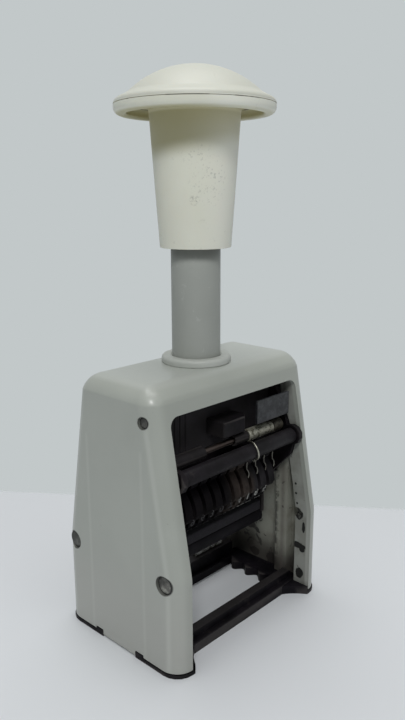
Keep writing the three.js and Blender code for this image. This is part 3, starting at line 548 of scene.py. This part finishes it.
def make_dark(name, tone, worn, roughness, metallic, worn_share):
    """Dark dusty finish that is rubbed lighter on its edges."""
    n = Nodes(name)
    colour = n.mix(n.patches(120, 5, 0.35, 0.7, 0.6), tone, worn)
    dust = n.patches(300, 4, 0.58, 0.75, 0.6)
    colour = n.cover(colour, dust, worn_share * 0.4, (92, 86, 82))
    n.set("Base Color", rubbed_edges(n, colour, worn_share))
    n.uneven(200, 4, roughness - 0.08, roughness + 0.12)
    n.set("Metallic", metallic)
    n.set("Specular IOR Level", 0.08)
    n.bump(n.noise(700, 4), 0.12, 0.0003)
    return n.material


def make_wheel_look():
    """Inked wheels: black at the left, brown in the middle, grey where the last digits are used."""
    n = Nodes("inked_wheel")
    x = n.axis("X")
    drift = n.patches(150, 5, 0.35, 0.7, 0.6)
    black = n.mix(drift, (7, 6, 8), (19, 17, 20))
    brown = n.mix(drift, (30, 25, 23), (62, 54, 49))
    grey = n.mix(drift, (14, 13, 15), (34, 32, 35))
    colour = n.mix(n.ramp_mm(x, *CHANGE.brown), black, brown)
    colour = n.mix(n.ramp_mm(x, *CHANGE.grey), colour, grey)
    n.set("Base Color", rubbed_edges(n, colour, 0.35))
    n.uneven(200, 4, 0.4, 0.6)
    n.set("Specular IOR Level", n.ramp_mm(x, *CHANGE.shine, 0.01, 0.08))
    n.bump(n.noise(700, 4), 0.12, 0.0003)
    return n.material


def make_metal(name, tone, stain, roughness):
    """Drawn metal with fine lines along X and stained spots."""
    n = Nodes(name)
    stretch = n.add("ShaderNodeMapping", {"Scale": (0.15, 1.0, 1.0), "Vector": n.coords})
    lines = n.noise(1400, 3, 0.6, coords=stretch.outputs["Vector"])
    spots = n.patches(260, 5, 0.52, 0.68, 0.65)
    n.set("Base Color", n.cover(tone, spots, 0.75, stain))
    n.set("Roughness", n.ramp(lines, 0.3, 0.7, roughness - 0.08, roughness + 0.12))
    n.set("Metallic", 1.0)
    n.bump(lines, 0.15, 0.0002)
    return n.material


def make_felt():
    """Felt of the ink pad, soaked nearly black."""
    n = Nodes("ink_felt")
    n.set("Base Color", n.mix(n.patches(500, 5, 0.3, 0.7), (13, 11, 15), (22, 18, 26)))
    n.set("Roughness", 0.95)
    n.bump(n.noise(1800, 6, 0.7), 0.6, 0.0005)
    return n.material


def make_screw_look():
    """Worn head with a painted shade ring at its rim, by the distance from the middle of the head, and
    painted shade towards its upper back.
    """
    n = Nodes("dull_screw")
    own = n.add("ShaderNodeTexCoord").outputs["Generated"]
    parts = n.add("ShaderNodeSeparateXYZ", {"Vector": own})
    y, z = (n.minus(parts.outputs[name], 0.5) for name in "YZ")
    out = n.math("SQRT", n.plus(n.times(y, y), n.times(z, z)))
    spots = n.patches(700, 4, 0.4, 0.62, 0.6)
    face = n.mix(spots, (98, 97, 92), (150, 150, 142))
    high = n.ramp_mm(n.axis("Z"), *CHANGE.high)
    face = n.cover(face, high, 0.7, (46, 46, 44))
    rear = n.ramp_mm(n.axis("Y"), *CHANGE.rear)
    face = n.cover(face, rear, 0.7, (56, 57, 54))
    # Painted shade towards the head's upper back, where the recess shades it.
    shade = n.ramp(n.plus(y, z), -0.12, 0.2)
    face = n.cover(face, shade, 0.7, (44, 44, 42))
    # Painted shade ring at the head's rim, where it meets the recess.
    n.set("Base Color", n.mix(n.ramp(out, 0.37, 0.46), face, (34, 33, 32)))
    n.uneven(200, 3, 0.45, 0.6)
    n.set("Metallic", 0.3)
    n.bump(n.noise(900, 4), 0.2, 0.0003)
    return n.material


def make_sleeve_look(name, light, dark, metallic, scale=620, rough=0.4):
    """Speckled worn metal, as on the rings on the shaft."""
    n = Nodes(name)
    n.set("Base Color", n.mix(n.patches(scale, 5, 0.46, 0.6, 0.7), light, dark))
    n.uneven(300, 3, rough, rough + 0.2)
    n.set("Metallic", metallic)
    n.bump(n.noise(900, 4), 0.2, 0.0003)
    return n.material


def make_numeral_look():
    """White left in the type of the last wheels, inked over on the others."""
    n = Nodes("worn_white")
    wear = n.patches(700, 4, 0.35, 0.65, 0.6)
    white = n.mix(wear, (196, 196, 190), (130, 128, 124))
    n.set("Base Color", n.mix(n.ramp_mm(n.axis("X"), *CHANGE.inked), white, (40, 38, 40)))
    n.set("Roughness", 0.6)
    return n.material


ENAMEL = make_enamel()
ENAMEL_TUBE = make_round_enamel("tube_enamel", (157, 160, 154), (165, 168, 162))
ENAMEL_RING = make_round_enamel("ring_enamel", (186, 190, 183), (193, 196, 190))
IVORY = make_ivory()
BLACK = make_dark("black_moulding", (12, 11, 14), (27, 24, 29), 0.45, 0.0, 0.35)
DARK_STEEL = make_dark("blackened_steel", (13, 11, 14), (34, 30, 33), 0.45, 0.1, 0.45)
STEEL = make_metal("bright_steel", (176, 174, 162), (88, 80, 66), 0.36)
WIRE_DULL = make_metal("dull_wire", (112, 110, 104), (60, 56, 50), 0.5)
SHAFT_BROWN = make_metal("brown_shaft", (84, 74, 70), (44, 38, 36), 0.45)
SLEEVE = make_sleeve_look("speckled_sleeve", (170, 168, 154), (92, 88, 74), 0.35)
BRASS = make_sleeve_look("dull_brass", (74, 70, 60), (46, 42, 36), 0.3)
# Near-white speckles on the rear leaf are painted glints, over its wear.
LEAF = make_sleeve_look("worn_leaf_painted_glints", (250, 250, 245), (96, 92, 82), 0.1, 330, 0.25)
SCREW = make_screw_look()
PLATE = make_sleeve_look("grey_plate", (20, 21, 24), (46, 47, 50), 0.0)
NUMERAL = make_numeral_look()
WHEEL = make_wheel_look()
# Painted shade: a darker copy of the black moulding for the ink pad's tray, which sits in shade.
PAD_SHADED = make_dark("pad_shaded_black", (8, 7, 10), (18, 16, 20), 0.5, 0.0, 0.3)
SHADED = make_dark("shaded_block", (13, 12, 17), (25, 22, 31), 0.55, 0.0, 0.2)
FELT = make_felt()

LOOK_OF_SLOT = {
    "housing_paint": ENAMEL, "ivory_plastic": IVORY, "black_parts": BLACK, "bright_steel": STEEL,
    "dull_brass": BRASS, "dark_steel": DARK_STEEL, "pad_felt": FELT, "grey_plate": PLATE,
}
LOOK_OF_NODE = {
    "rear_leaf": LEAF, "head_block": SHADED, "pad_tray": PAD_SHADED,
    "cross_shaft": SHAFT_BROWN, "shaft_sleeve": SLEEVE,
}


def slot_of(node):
    return next(row["material_slot"] for row in frame["record"]["subparts"] if row["node"] == node)


def look_of(node):
    if node.startswith(MOVING_ROWS):
        return WHEEL
    return LOOK_OF_NODE.get(node, LOOK_OF_SLOT[slot_of(node)])


def dress_nodes():
    """Gives every node of the frame the finish of its slot."""
    for row in frame["record"]["subparts"]:
        piece = frame["nodes"][row["node"]]
        piece.data.materials.clear()
        piece.data.materials.append(LOOK_OF_SLOT[row["material_slot"]])


# Mesh helpers

def mesh_from(name, points, faces, merge):
    """Mesh in metres, its points closer than merge joined and its faces turned outwards."""
    mesh = bpy.data.meshes.new(name)
    mesh.from_pydata([tuple(c * MM for c in p) for p in points], [], faces)
    work = bmesh.new()
    work.from_mesh(mesh)
    bmesh.ops.remove_doubles(work, verts=work.verts, dist=merge * MM)
    bmesh.ops.recalc_face_normals(work, faces=work.faces)
    work.to_mesh(mesh)
    work.free()
    return mesh


def new_object(name, data):
    piece = bpy.data.objects.new(name, data)
    bpy.context.scene.collection.objects.link(piece)
    return piece


def shade(mesh, sharp, look):
    """Smooth faces with sharp edges above an angle in degrees, in one look."""
    mesh.materials.clear()
    mesh.materials.append(look)
    mesh.polygons.foreach_set("use_smooth", [True] * len(mesh.polygons))
    mesh.set_sharp_from_angle(angle=math.radians(sharp))


def piece_from(name, points, faces, look, body, replaces, sharp):
    """A finished piece of the scene that rides on its body."""
    mesh = mesh_from(name, points, faces, MERGE)
    shade(mesh, sharp, look)
    piece = new_object(name, mesh)
    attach(piece, body)
    if replaces:
        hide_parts(*replaces)


def wall_faces(rows, sides):
    """Four-sided faces between closed rows of points."""
    faces = []
    for row in range(rows - 1):
        for i in range(sides):
            j = (i + 1) % sides
            low, high = row * sides, (row + 1) * sides
            faces.append((low + i, low + j, high + j, high + i))
    return faces


def end_faces(rows, sides):
    """The two faces that close the first and the last row."""
    return [tuple(reversed(range(sides))), tuple(range((rows - 1) * sides, rows * sides))]


def lathe(profile, sides):
    """Turned skin about Z from (radius, height) pairs."""
    points = []
    for radius, height in profile:
        for i in range(sides):
            angle = TAU * i / sides
            points.append((radius * math.cos(angle), radius * math.sin(angle), height))
    return points, wall_faces(len(profile), sides)


def arc(centre_a, centre_b, radius, start, end, steps):
    """Points of an arc in a plane, between two angles in degrees."""
    out = []
    for i in range(steps + 1):
        angle = math.radians(start + (end - start) * i / steps)
        out.append((centre_a + radius * math.cos(angle), centre_b + radius * math.sin(angle)))
    return out


def rounded_ring(half_x, half_y, corner, height, steps):
    """Rectangle with rounded corners at a height."""
    ring = []
    for sign_x, sign_y, start in ((1, 1, 0), (-1, 1, 90), (-1, -1, 180), (1, -1, 270)):
        centre_x, centre_y = sign_x * (half_x - corner), sign_y * (half_y - corner)
        for x, y in arc(centre_x, centre_y, corner, start, start + 90, steps):
            ring.append((x, y, height))
    return ring


def loft(rings):
    """Closed skin over rings with the same number of points."""
    points = [p for ring in rings for p in ring]
    size = len(rings[0])
    return points, wall_faces(len(rings), size) + end_faces(len(rings), size)


def prism(outline, axis, start, end):
    """Closed solid of an outline drawn out along an axis."""
    place = {
        "x": lambda a, b, c: (c, a, b), "y": lambda a, b, c: (a, c, b), "z": lambda a, b, c: (a, b, c),
    }[axis]
    return loft([[place(a, b, c) for a, b in outline] for c in (start, end)])


def cylinder(axis, start, end, centre_a, centre_b, radius, sides=48):
    return prism(arc(centre_a, centre_b, radius, 0, 360 - 360 / sides, sides - 1), axis, start, end)


def scratch(points, faces):
    """Loose object that only serves in a cut or a join."""
    return new_object("scratch", mesh_from("scratch", points, faces, FINE_MERGE))


def combine(target, tools, operation="DIFFERENCE"):
    """Cuts tools out of a loose object, or joins them to it, and removes them."""
    for tool in tools:
        step = target.modifiers.new("step", "BOOLEAN")
        step.operation = operation
        step.solver = "EXACT"
        step.object = tool
    bpy.context.view_layer.update()
    graph = bpy.context.evaluated_depsgraph_get()
    mesh = bpy.data.meshes.new_from_object(target.evaluated_get(graph))
    target.modifiers.clear()
    target.data = mesh
    for tool in tools:
        bpy.data.objects.remove(tool)


def finish_piece(piece, name, look, body, replaces, bevel, sharp, segments):
    """Names a loose object, rounds its edges, and lets it ride on its body."""
    piece.name = name
    shade(piece.data, sharp, look)
    rounding = piece.modifiers.new("rounding", "BEVEL")
    rounding.width = bevel * MM
    rounding.segments = segments
    rounding.limit_method = "ANGLE"
    rounding.angle_limit = math.radians(sharp)
    rounding.harden_normals = False
    rounding.miter_outer = "MITER_ARC"
    weighting = piece.modifiers.new("weighting", "WEIGHTED_NORMAL")
    weighting.keep_sharp = True
    weighting.weight = 60
    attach(piece, body)
    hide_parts(*replaces)


# Housing

def half_depth(height):
    """Half the housing's depth, which shrinks above the kink."""
    return DEPTH / 2 - max(0, height - SHELL.kink) * SHELL.lean


def shell_rings():
    """Outlines of the housing's outer skin, from its foot over the kink to the rounded roof."""
    steps, kink, corner = SHELL.steps, SHELL.kink, SHELL.corner
    rings = [rounded_ring(WIDTH / 2, half_depth(SHELL_LOW.z), corner, SHELL_LOW.z, steps)]
    for step, ease in SHELL.kink_rings:
        depth = half_depth(kink + step) - ease * SHELL.lean
        rings.append(rounded_ring(WIDTH / 2, depth, corner, kink + step, steps))
    crease = math.radians(SHELL.crease)
    radius = SHELL.top_round / math.cos(crease)
    for i in range(steps + 1):
        angle = crease + (math.pi / 2 - crease) * i / steps
        height = TOP - radius * (1 - math.sin(angle))
        inset = radius * (math.cos(crease) - math.cos(angle))
        rings.append(rounded_ring(
            WIDTH / 2 - inset, half_depth(height) - inset, max(corner - inset, SHELL.least_corner),
            height, steps,
        ))
    return rings


def shell_cuts():
    """What is taken from the housing: its hollow, windows, barrel hole, foot notches and screw bores."""
    foot, wall = SHELL_LOW.z, SHELL.side_wall
    inner = [
        rounded_ring(
            WIDTH / 2 - wall, half_depth(height) - SHELL.end_wall, SHELL.corner - wall, height, SHELL.steps,
        )
        for height in (foot - OVER, SHELL.kink, TOP - SHELL.roof)
    ]
    half, top, corner = SHELL.window_half, SHELL.window_top, SHELL.window_corner
    window = [(half, foot - OVER)]
    window += arc(half - corner, top - corner, corner, 0, 90, SHELL.window_steps)
    window += arc(corner - half, top - corner, corner, 90, 180, SHELL.window_steps)
    window.append((-half, foot - OVER))
    cuts = [
        scratch(*loft(inner)), scratch(*prism(window, "y", -FAR_Y, FAR_Y)),
        scratch(*cylinder("z", TOP - SHELL.roof_cut, TOP + OVER, 0, 0, SHELL.barrel_hole)),
    ]
    reach, end, apart = SHELL.foot_reach, SHELL.tab_end, SHELL.notch_gap
    for low, high, lift in (
        (-FAR_Y, -reach, SHELL.lift), (reach, FAR_Y, SHELL.lift),
        (-end, -reach - apart, SHELL.tab_lift), (reach + apart, end, SHELL.tab_lift),
    ):
        outline = [(low, foot - OVER), (high, foot - OVER), (high, foot + lift), (low, foot + lift)]
        cuts.append(scratch(*prism(outline, "x", -FAR_X, FAR_X)))
    for node in SCREWS:
        side, _, y, z, head = screw_at(node)
        large = head > HEAD.large
        recess = HEAD.recess if large else HEAD.small_recess
        near, far = sorted((side * (WIDTH / 2 - recess), side * HEAD.far))
        cuts.append(scratch(*cylinder("x", near, far, y, z, head + HEAD.gap)))
        near, far = sorted((side * HEAD.hole_start, side * HEAD.hole_end))
        hole = HEAD.hole if large else HEAD.small_hole
        cuts.append(scratch(*cylinder("x", near, far, y, z, hole, HEAD.hole_sides)))
    return cuts


def rib_at(side, end):
    """Guide rib inside one corner of the housing, on which a shoe of the carriage runs."""
    near, far = sorted((side * RIB.inner, side * RIB.outer))
    outline = [
        (end * RIB.near, RIB.foot), (end * RIB.far, RIB.foot), (end * RIB.far, RIB.bend),
        (end * RIB.tip, RIB.top), (end * RIB.near, RIB.top),
    ]
    return scratch(*prism(outline, "x", near, far))


def make_housing():
    shell = scratch(*loft(shell_rings()))
    combine(shell, shell_cuts())
    combine(shell, [rib_at(side, end) for side in (-1, 1) for end in (-1, 1)], "UNION")
    finish_piece(
        shell, "housing", ENAMEL, "frame", ("housing_shell",),
        bevel=SHELL.edge, sharp=SHELL.sharp, segments=3,
    )


def make_screws():
    """Slightly domed heads on short shanks, sunk in their bores."""
    for node in SCREWS:
        side, outer, y, z, radius = screw_at(node)
        face = side * outer - HEAD.sunk
        neck, tip = radius * HEAD.shank_share, face - HEAD.shank
        profile = [(ON_AXIS, face)]
        for turn in HEAD.crown_turns:
            profile.append((radius * math.sin(turn), face - HEAD.crown * (1 - math.cos(turn))))
        under = face - HEAD.thick
        profile += [(radius, under), (neck, under), (neck, tip), (ON_AXIS, tip)]
        points, faces = lathe(profile, HEAD.sides)
        head = scratch([(side * h, y + a, z + b) for a, b, h in points], faces)
        finish_piece(
            head, "head_" + node, SCREW, "frame", (node,),
            bevel=HEAD.edge, sharp=HEAD.sharp, segments=2,
        )


# Barrel, collar and knob

def turn_closed(name, profile, look, node):
    """Ring or tube about Z, of a closed profile."""
    points, faces = lathe([*profile, profile[0]], BARREL.sides)
    piece_from(name, points, faces, look, "frame", (node,), BARREL.sharp)


def make_barrel():
    low, high = box_mm("barrel_tube")
    shoulder = low.z + BARREL.flange_thick
    profile = [(BARREL.bore, low.z), (BARREL.flange, low.z), (BARREL.flange, shoulder)]
    profile += [(BARREL.radius, shoulder), *((r, high.z - down) for r, down in BARREL.lip)]
    profile += [(BARREL.well, BARREL.well_foot), (BARREL.bore, BARREL.well_foot)]
    turn_closed("barrel", profile, ENAMEL_TUBE, "barrel_tube")
    low, high = box_mm("guide_collar")
    profile = [(COLLAR.bore, low.z), (COLLAR.foot, low.z), (COLLAR.radius, low.z + COLLAR.foot_round)]
    rounding = COLLAR.round
    profile += arc(COLLAR.radius - rounding, high.z - rounding, rounding, 0, 90, COLLAR.round_steps)
    profile += [(COLLAR.top, high.z), (COLLAR.bore, high.z - COLLAR.lead)]
    turn_closed("collar_ring", profile, ENAMEL_RING, "guide_collar")


def turn_knob(name, profile, node, sharp):
    """Solid about Z whose profile starts and ends on the axis."""
    points, faces = lathe(profile, KNOB_SIDES)
    faces += end_faces(len(profile), KNOB_SIDES)
    piece_from(name, points, faces, IVORY, "carriage", (node,), sharp)


def make_knob():
    rim, crown = box_mm("knob_body")[1].x, box_mm("knob_cap")[1].z
    seam = SEAM_Z - RIM_STEP.seam
    profile = [(ON_AXIS, SKIRT_LOW + BOSS_TOP)]
    profile += [(radius, SKIRT_LOW + height) for radius, height in (*SKIRT, *RIM_HOLLOW)]
    for centre, height, radius, start, end, steps in RIM_LIP:
        profile += arc(centre, SKIRT_LOW + height, radius, start, end, steps)
    profile += [(rim, seam - RIM_STEP.edge), (rim, seam), (rim - RIM_STEP.ledge, seam)]
    profile += [(RIM_STEP.floor, SKIRT_LOW + RIM_TOP), (ON_AXIS, SKIRT_LOW + RIM_TOP)]
    turn_knob("knob_skirt", profile, "knob_body", SKIRT_SHARP)
    profile = [(ON_AXIS, SKIRT_LOW + CAP_FOOT), (RIM_STEP.cap_floor, SKIRT_LOW + CAP_FOOT)]
    profile += [(rim - inward, SEAM_Z + up) for inward, up in CAP_EDGE]
    sphere, steps = DOME.sphere, DOME.steps
    for i in range(steps + 1):
        radius = max(DOME.radius * math.cos(math.pi / 2 * i / steps), ON_AXIS)
        profile.append((radius, crown - sphere + math.sqrt(sphere ** 2 - radius ** 2)))
    turn_knob("knob_dome", profile, "knob_cap", CAP_SHARP)


# Mechanism

def soften(node, width):
    """Finer copy of a solid with rounded edges, in the place of the plain one."""
    source = frame["nodes"][node]
    mesh = source.data.copy()
    work = bmesh.new()
    work.from_mesh(mesh)
    bmesh.ops.remove_doubles(work, verts=work.verts, dist=MERGE * MM)
    bmesh.ops.dissolve_limit(
        work, angle_limit=math.radians(1), verts=work.verts, edges=work.edges,
        use_dissolve_boundaries=False,
    )
    work.to_mesh(mesh)
    work.free()
    piece = new_object("soft_" + node, mesh)
    body = body_of(source)[0]
    finish_piece(
        piece, "soft_" + node, look_of(node), body, (node,),
        bevel=width, sharp=SOFT_SHARP, segments=2,
    )


def make_return_spring():
    """The coil in the barrel, on a mesh of its own. The real coil shortens as the knob goes down."""
    piece = new_object("coiled_spring", frame["nodes"]["return_spring"].data.copy())
    piece.data.materials.clear()
    piece.data.materials.append(STEEL)
    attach(piece, "frame")
    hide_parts("return_spring")
    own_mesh(piece)


def make_mechanism():
    for node, width in SOFTENED.items():
        soften(node, width)
    for node in sorted(frame["nodes"]):
        if node.startswith(MOVING_ROWS):
            soften(node, ROW_EDGE)


def turn_along_x(name, node, profile, sides, start, sharp):
    """Turned form about a node's middle line. Its profile's places count from start."""
    low, high = box_mm(node)
    centre = (low + high) / 2
    points, faces = lathe(profile, sides)
    turned = [(start + h, centre.y + a, centre.z + b) for a, b, h in points]
    piece_from(name, turned, faces, look_of(node), "carriage", (node,), sharp)


def round_bar(node, sides, rims):
    """Bar in the place of a plain one. rims gives its (place, share of the radius) pairs."""
    low, high = box_mm(node)
    half, radius = (high.x - low.x) / 2, (high.z - low.z) / 2
    profile = [(ON_AXIS, -half), *((share * radius, x) for x, share in rims(half)), (ON_AXIS, half)]
    turn_along_x("round_" + node, node, profile, sides, (low.x + high.x) / 2, BAR_SHARP)


def crossbar_rims(half):
    """Thick bar between thinner journals."""
    end, journal = half - CROSSBAR.journal, CROSSBAR.journal_share
    edge, edge_share = CROSSBAR.edge, CROSSBAR.edge_share
    return ((-half, journal), (-end, journal), (-end, edge_share), (edge - end, 1.0),
            (end - edge, 1.0), (end, edge_share), (end, journal), (half, journal))


def shaft_rims(half):
    """Even bar with its edges taken off."""
    edge, share = SHAFT.edge, SHAFT.edge_share
    return (-half, share), (edge - half, 1.0), (half - edge, 1.0), (half, share)


def make_bars():
    round_bar("front_crossbar", CROSSBAR.sides, crossbar_rims)
    for node in ("cross_shaft", "lever_shaft", "wheel_axle"):
        round_bar(node, SHAFT.sides, shaft_rims)


def make_rings():
    """The collar, sleeve, bush and hub on the cross shaft."""
    bore, edge = RING.bore, RING.edge
    for node in ("shaft_collar", "shaft_sleeve", "shaft_bush", "shaft_hub"):
        low, high = box_mm(node)
        radius = (high.z - low.z) / 2
        profile = [
            (bore, low.x), (radius - edge, low.x), (radius, low.x + edge), (radius, high.x - edge),
            (radius - edge, high.x), (bore, high.x), (bore, low.x),
        ]
        turn_along_x("fine_" + node, node, profile, RING.sides, 0, RING.sharp)


def digit_mesh(value):
    """Flat raised digit, lying in XY about the origin."""
    letter = bpy.data.curves.new("digit", "FONT")
    letter.body = str(value)
    letter.size = DIGIT.height * MM
    letter.align_x, letter.align_y = "CENTER", "CENTER"
    letter.resolution_u = DIGIT.steps
    letter.extrude = DIGIT.lift / 2 * MM
    loose = new_object("digit", letter)
    bpy.context.view_layer.update()
    graph = bpy.context.evaluated_depsgraph_get()
    shape = bpy.data.meshes.new_from_object(loose.evaluated_get(graph))
    bpy.data.objects.remove(loose)
    bpy.data.curves.remove(letter)
    return shape


def make_digits():
    """A raised digit on every type face, worn white, mirrored as type is."""
    for node in sorted(frame["nodes"]):
        if not node.startswith("numbering_wheel_"):
            continue
        number = node[-2:]
        middle = Vector((box_mm(node)[0].x + DIGIT.across, AXLE_Y, AXLE_Z)) * MM
        whole = bmesh.new()
        for face in range(DIGIT.faces):
            shape = digit_mesh((face + int(number) * DIGIT.shift) % 10)
            angle = TAU * (face + 0.5) / DIGIT.faces
            along = Vector((1, 0, 0))
            up = Vector((0, -math.sin(angle), math.cos(angle)))
            out = Vector((0, math.cos(angle), math.sin(angle)))
            turn = Matrix((along, up, out)).transposed().to_4x4()
            shape.transform(Matrix.Translation(middle + out * (DIGIT.out * MM)) @ turn)
            whole.from_mesh(shape)
            bpy.data.meshes.remove(shape)
        mesh = bpy.data.meshes.new("digits")
        bmesh.ops.recalc_face_normals(whole, faces=whole.faces)
        whole.to_mesh(mesh)
        whole.free()
        mesh.materials.append(NUMERAL)
        digits = new_object("digits_" + number, mesh)
        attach(digits, "wheel_" + number)


def curve_through(marks, steps):
    """Smooth path through marks, at even steps of a Catmull-Rom curve."""
    path = []
    ends = [marks[0] * 2 - marks[1], *marks, marks[-1] * 2 - marks[-2]]
    for i in range(1, len(ends) - 2):
        a, b, c, d = ends[i - 1:i + 3]
        for k in range(steps):
            t = k / steps
            path.append((b * 2 + (c - a) * t + (a * 2 - b * 5 + c * 4 - d) * t * t
                         + (b * 3 - a - c * 3 + d) * t ** 3) / 2)
    return [*path, marks[-1]]


def tube(name, marks, size, look, replaces=()):
    """Round wire on the carriage along a smooth path through marks, with closed ends."""
    radius, sides = size.radius, size.sides
    path = curve_through(marks, WIRE_STEPS)
    points = []
    normal = Vector((1, 0, 0))
    for i, here in enumerate(path):
        ahead = (path[min(i + 1, len(path) - 1)] - path[max(i - 1, 0)]).normalized()
        normal = (normal - ahead * normal.dot(ahead)).normalized()
        other = ahead.cross(normal)
        for k in range(sides):
            turn = TAU * k / sides
            out = normal * (radius * math.cos(turn)) + other * (radius * math.sin(turn))
            points.append(tuple(here + out))
    faces = wall_faces(len(path), sides) + end_faces(len(path), sides)
    piece_from(name, points, faces, look, "carriage", replaces, WIRE_SHARP)


def make_small_wires():
    """Thin bent springs between the crossbar and the tops of the levers at the right."""
    for i in range(SMALL_WIRE.first, SMALL_WIRE.last + 1):
        low, high = box_mm(f"detent_lever_{i:02d}")
        middle = Vector(((low.x + high.x) / 2, 0, 0))
        marks = [middle + Vector(mark) for mark in SMALL_WIRE.marks]
        tube(f"small_wire_{i:02d}", marks, SMALL_WIRE, WIRE_DULL)


def make_wire():
    """Finer wire spring over the crossbar."""
    low, high = box_mm("front_crossbar")
    y, z, reach = (low.y + high.y) / 2, (low.z + high.z) / 2, (high.z - low.z) / 2 + BOW.stand
    x = box_mm("wire_spring")[1].x - BOW.inset
    marks = []
    for i in range(BOW.steps + 1):
        share = i / BOW.steps
        turn = math.radians(BOW.start + BOW.sweep * share)
        sway = BOW.sway * math.sin(math.pi * share)
        marks.append(Vector((x - sway, y + reach * math.cos(turn), z + reach * math.sin(turn))))
    marks.append(marks[-1] + Vector(BOW.tail))
    tube("bowed_wire", marks, BOW, STEEL, ("wire_spring",))


# Camera, stage and lights

def make_camera():
    """Camera at the photograph's place, turned by azimuth and pitch and then rolled."""
    camera = new_object("camera", bpy.data.cameras.new("camera"))
    camera.data.sensor_fit = "AUTO"
    camera.data.sensor_width = CAMERA.sensor
    camera.data.lens = CAMERA.lens
    camera.data.clip_start = CAMERA.near * MM
    camera.location = tuple(c * MM for c in CAMERA.place)
    azimuth, pitch, roll = (math.radians(a) for a in (CAMERA.azimuth, CAMERA.pitch, CAMERA.roll))
    back = Vector((
        math.sin(azimuth) * math.cos(pitch), -math.cos(azimuth) * math.cos(pitch), math.sin(pitch),
    ))
    right = Vector((math.cos(azimuth), math.sin(azimuth), 0))
    up = back.cross(right)
    turned_right = math.cos(roll) * right + math.sin(roll) * up
    turned_up = math.cos(roll) * up - math.sin(roll) * right
    basis = Matrix((turned_right, turned_up, back)).transposed()
    camera.rotation_mode = "QUATERNION"
    camera.rotation_quaternion = basis.to_quaternion()
    bpy.context.scene.camera = camera


def make_stage():
    """A pale table top whose far edge gives way to the wall behind it."""
    n = Nodes("table_paper")
    n.set("Base Color", n.mix(n.patches(3, 2, 0.3, 0.7), (216, 219, 222), (220, 223, 226)))
    n.set("Roughness", 0.55)
    ahead_x, ahead_y = TABLE.heading
    ahead = n.plus(n.times(n.axis("X"), ahead_x), n.times(n.axis("Y"), ahead_y))
    beyond = n.ramp_mm(ahead, *TABLE.edge)
    clear = n.add("ShaderNodeBsdfTransparent").outputs[0]
    blend = n.add("ShaderNodeMixShader", {0: beyond, 1: n.shader.outputs[0], 2: clear})
    n.put(n.tree.nodes["Material Output"].inputs["Surface"], blend.outputs[0])
    mesh = bpy.data.meshes.new("table")
    far = TABLE.half
    mesh.from_pydata([(-far, -far, 0), (far, -far, 0), (far, far, 0), (-far, far, 0)], [], [(0, 1, 2, 3)])
    mesh.materials.append(n.material)
    plane = new_object("table", mesh)


def make_lights():
    """Two soft lamps, and a world that is a pale wall to the camera and a dim room to the part."""
    world = bpy.data.worlds.new("world")
    bpy.context.scene.world = world
    n = Nodes(world=world)
    room = n.tree.nodes["Background"]
    n.put(room.inputs["Color"], linear((217, 221, 224)))
    n.put(room.inputs["Strength"], ROOM_STRENGTH)
    wall = n.add("ShaderNodeBackground", {"Color": linear((194, 200, 201)), "Strength": 1.0})
    rays = n.add("ShaderNodeLightPath").outputs
    seen = n.math("MAXIMUM", rays["Is Camera Ray"], rays["Is Glossy Ray"])
    seen = n.math("MAXIMUM", seen, rays["Is Transmission Ray"])
    blend = n.add("ShaderNodeMixShader", {0: seen, 1: room.outputs[0], 2: wall.outputs[0]})
    n.put(n.tree.nodes["World Output"].inputs["Surface"], blend.outputs[0])
    for name, place, target, size, watts in LAMPS:
        lamp = new_object(name, bpy.data.lights.new(name, "AREA"))
        lamp.data.size = size
        lamp.data.energy = watts
        lamp.location = place
        lamp.rotation_mode = "QUATERNION"
        lamp.rotation_quaternion = (Vector(target) - Vector(place)).to_track_quat("-Z", "Y")
    bpy.context.scene.view_settings.view_transform = "Standard"


make_camera()
make_stage()
make_lights()
dress_nodes()
make_housing()
make_screws()
make_barrel()
make_knob()
make_return_spring()
make_mechanism()
make_bars()
make_rings()
make_digits()
make_small_wires()
make_wire()
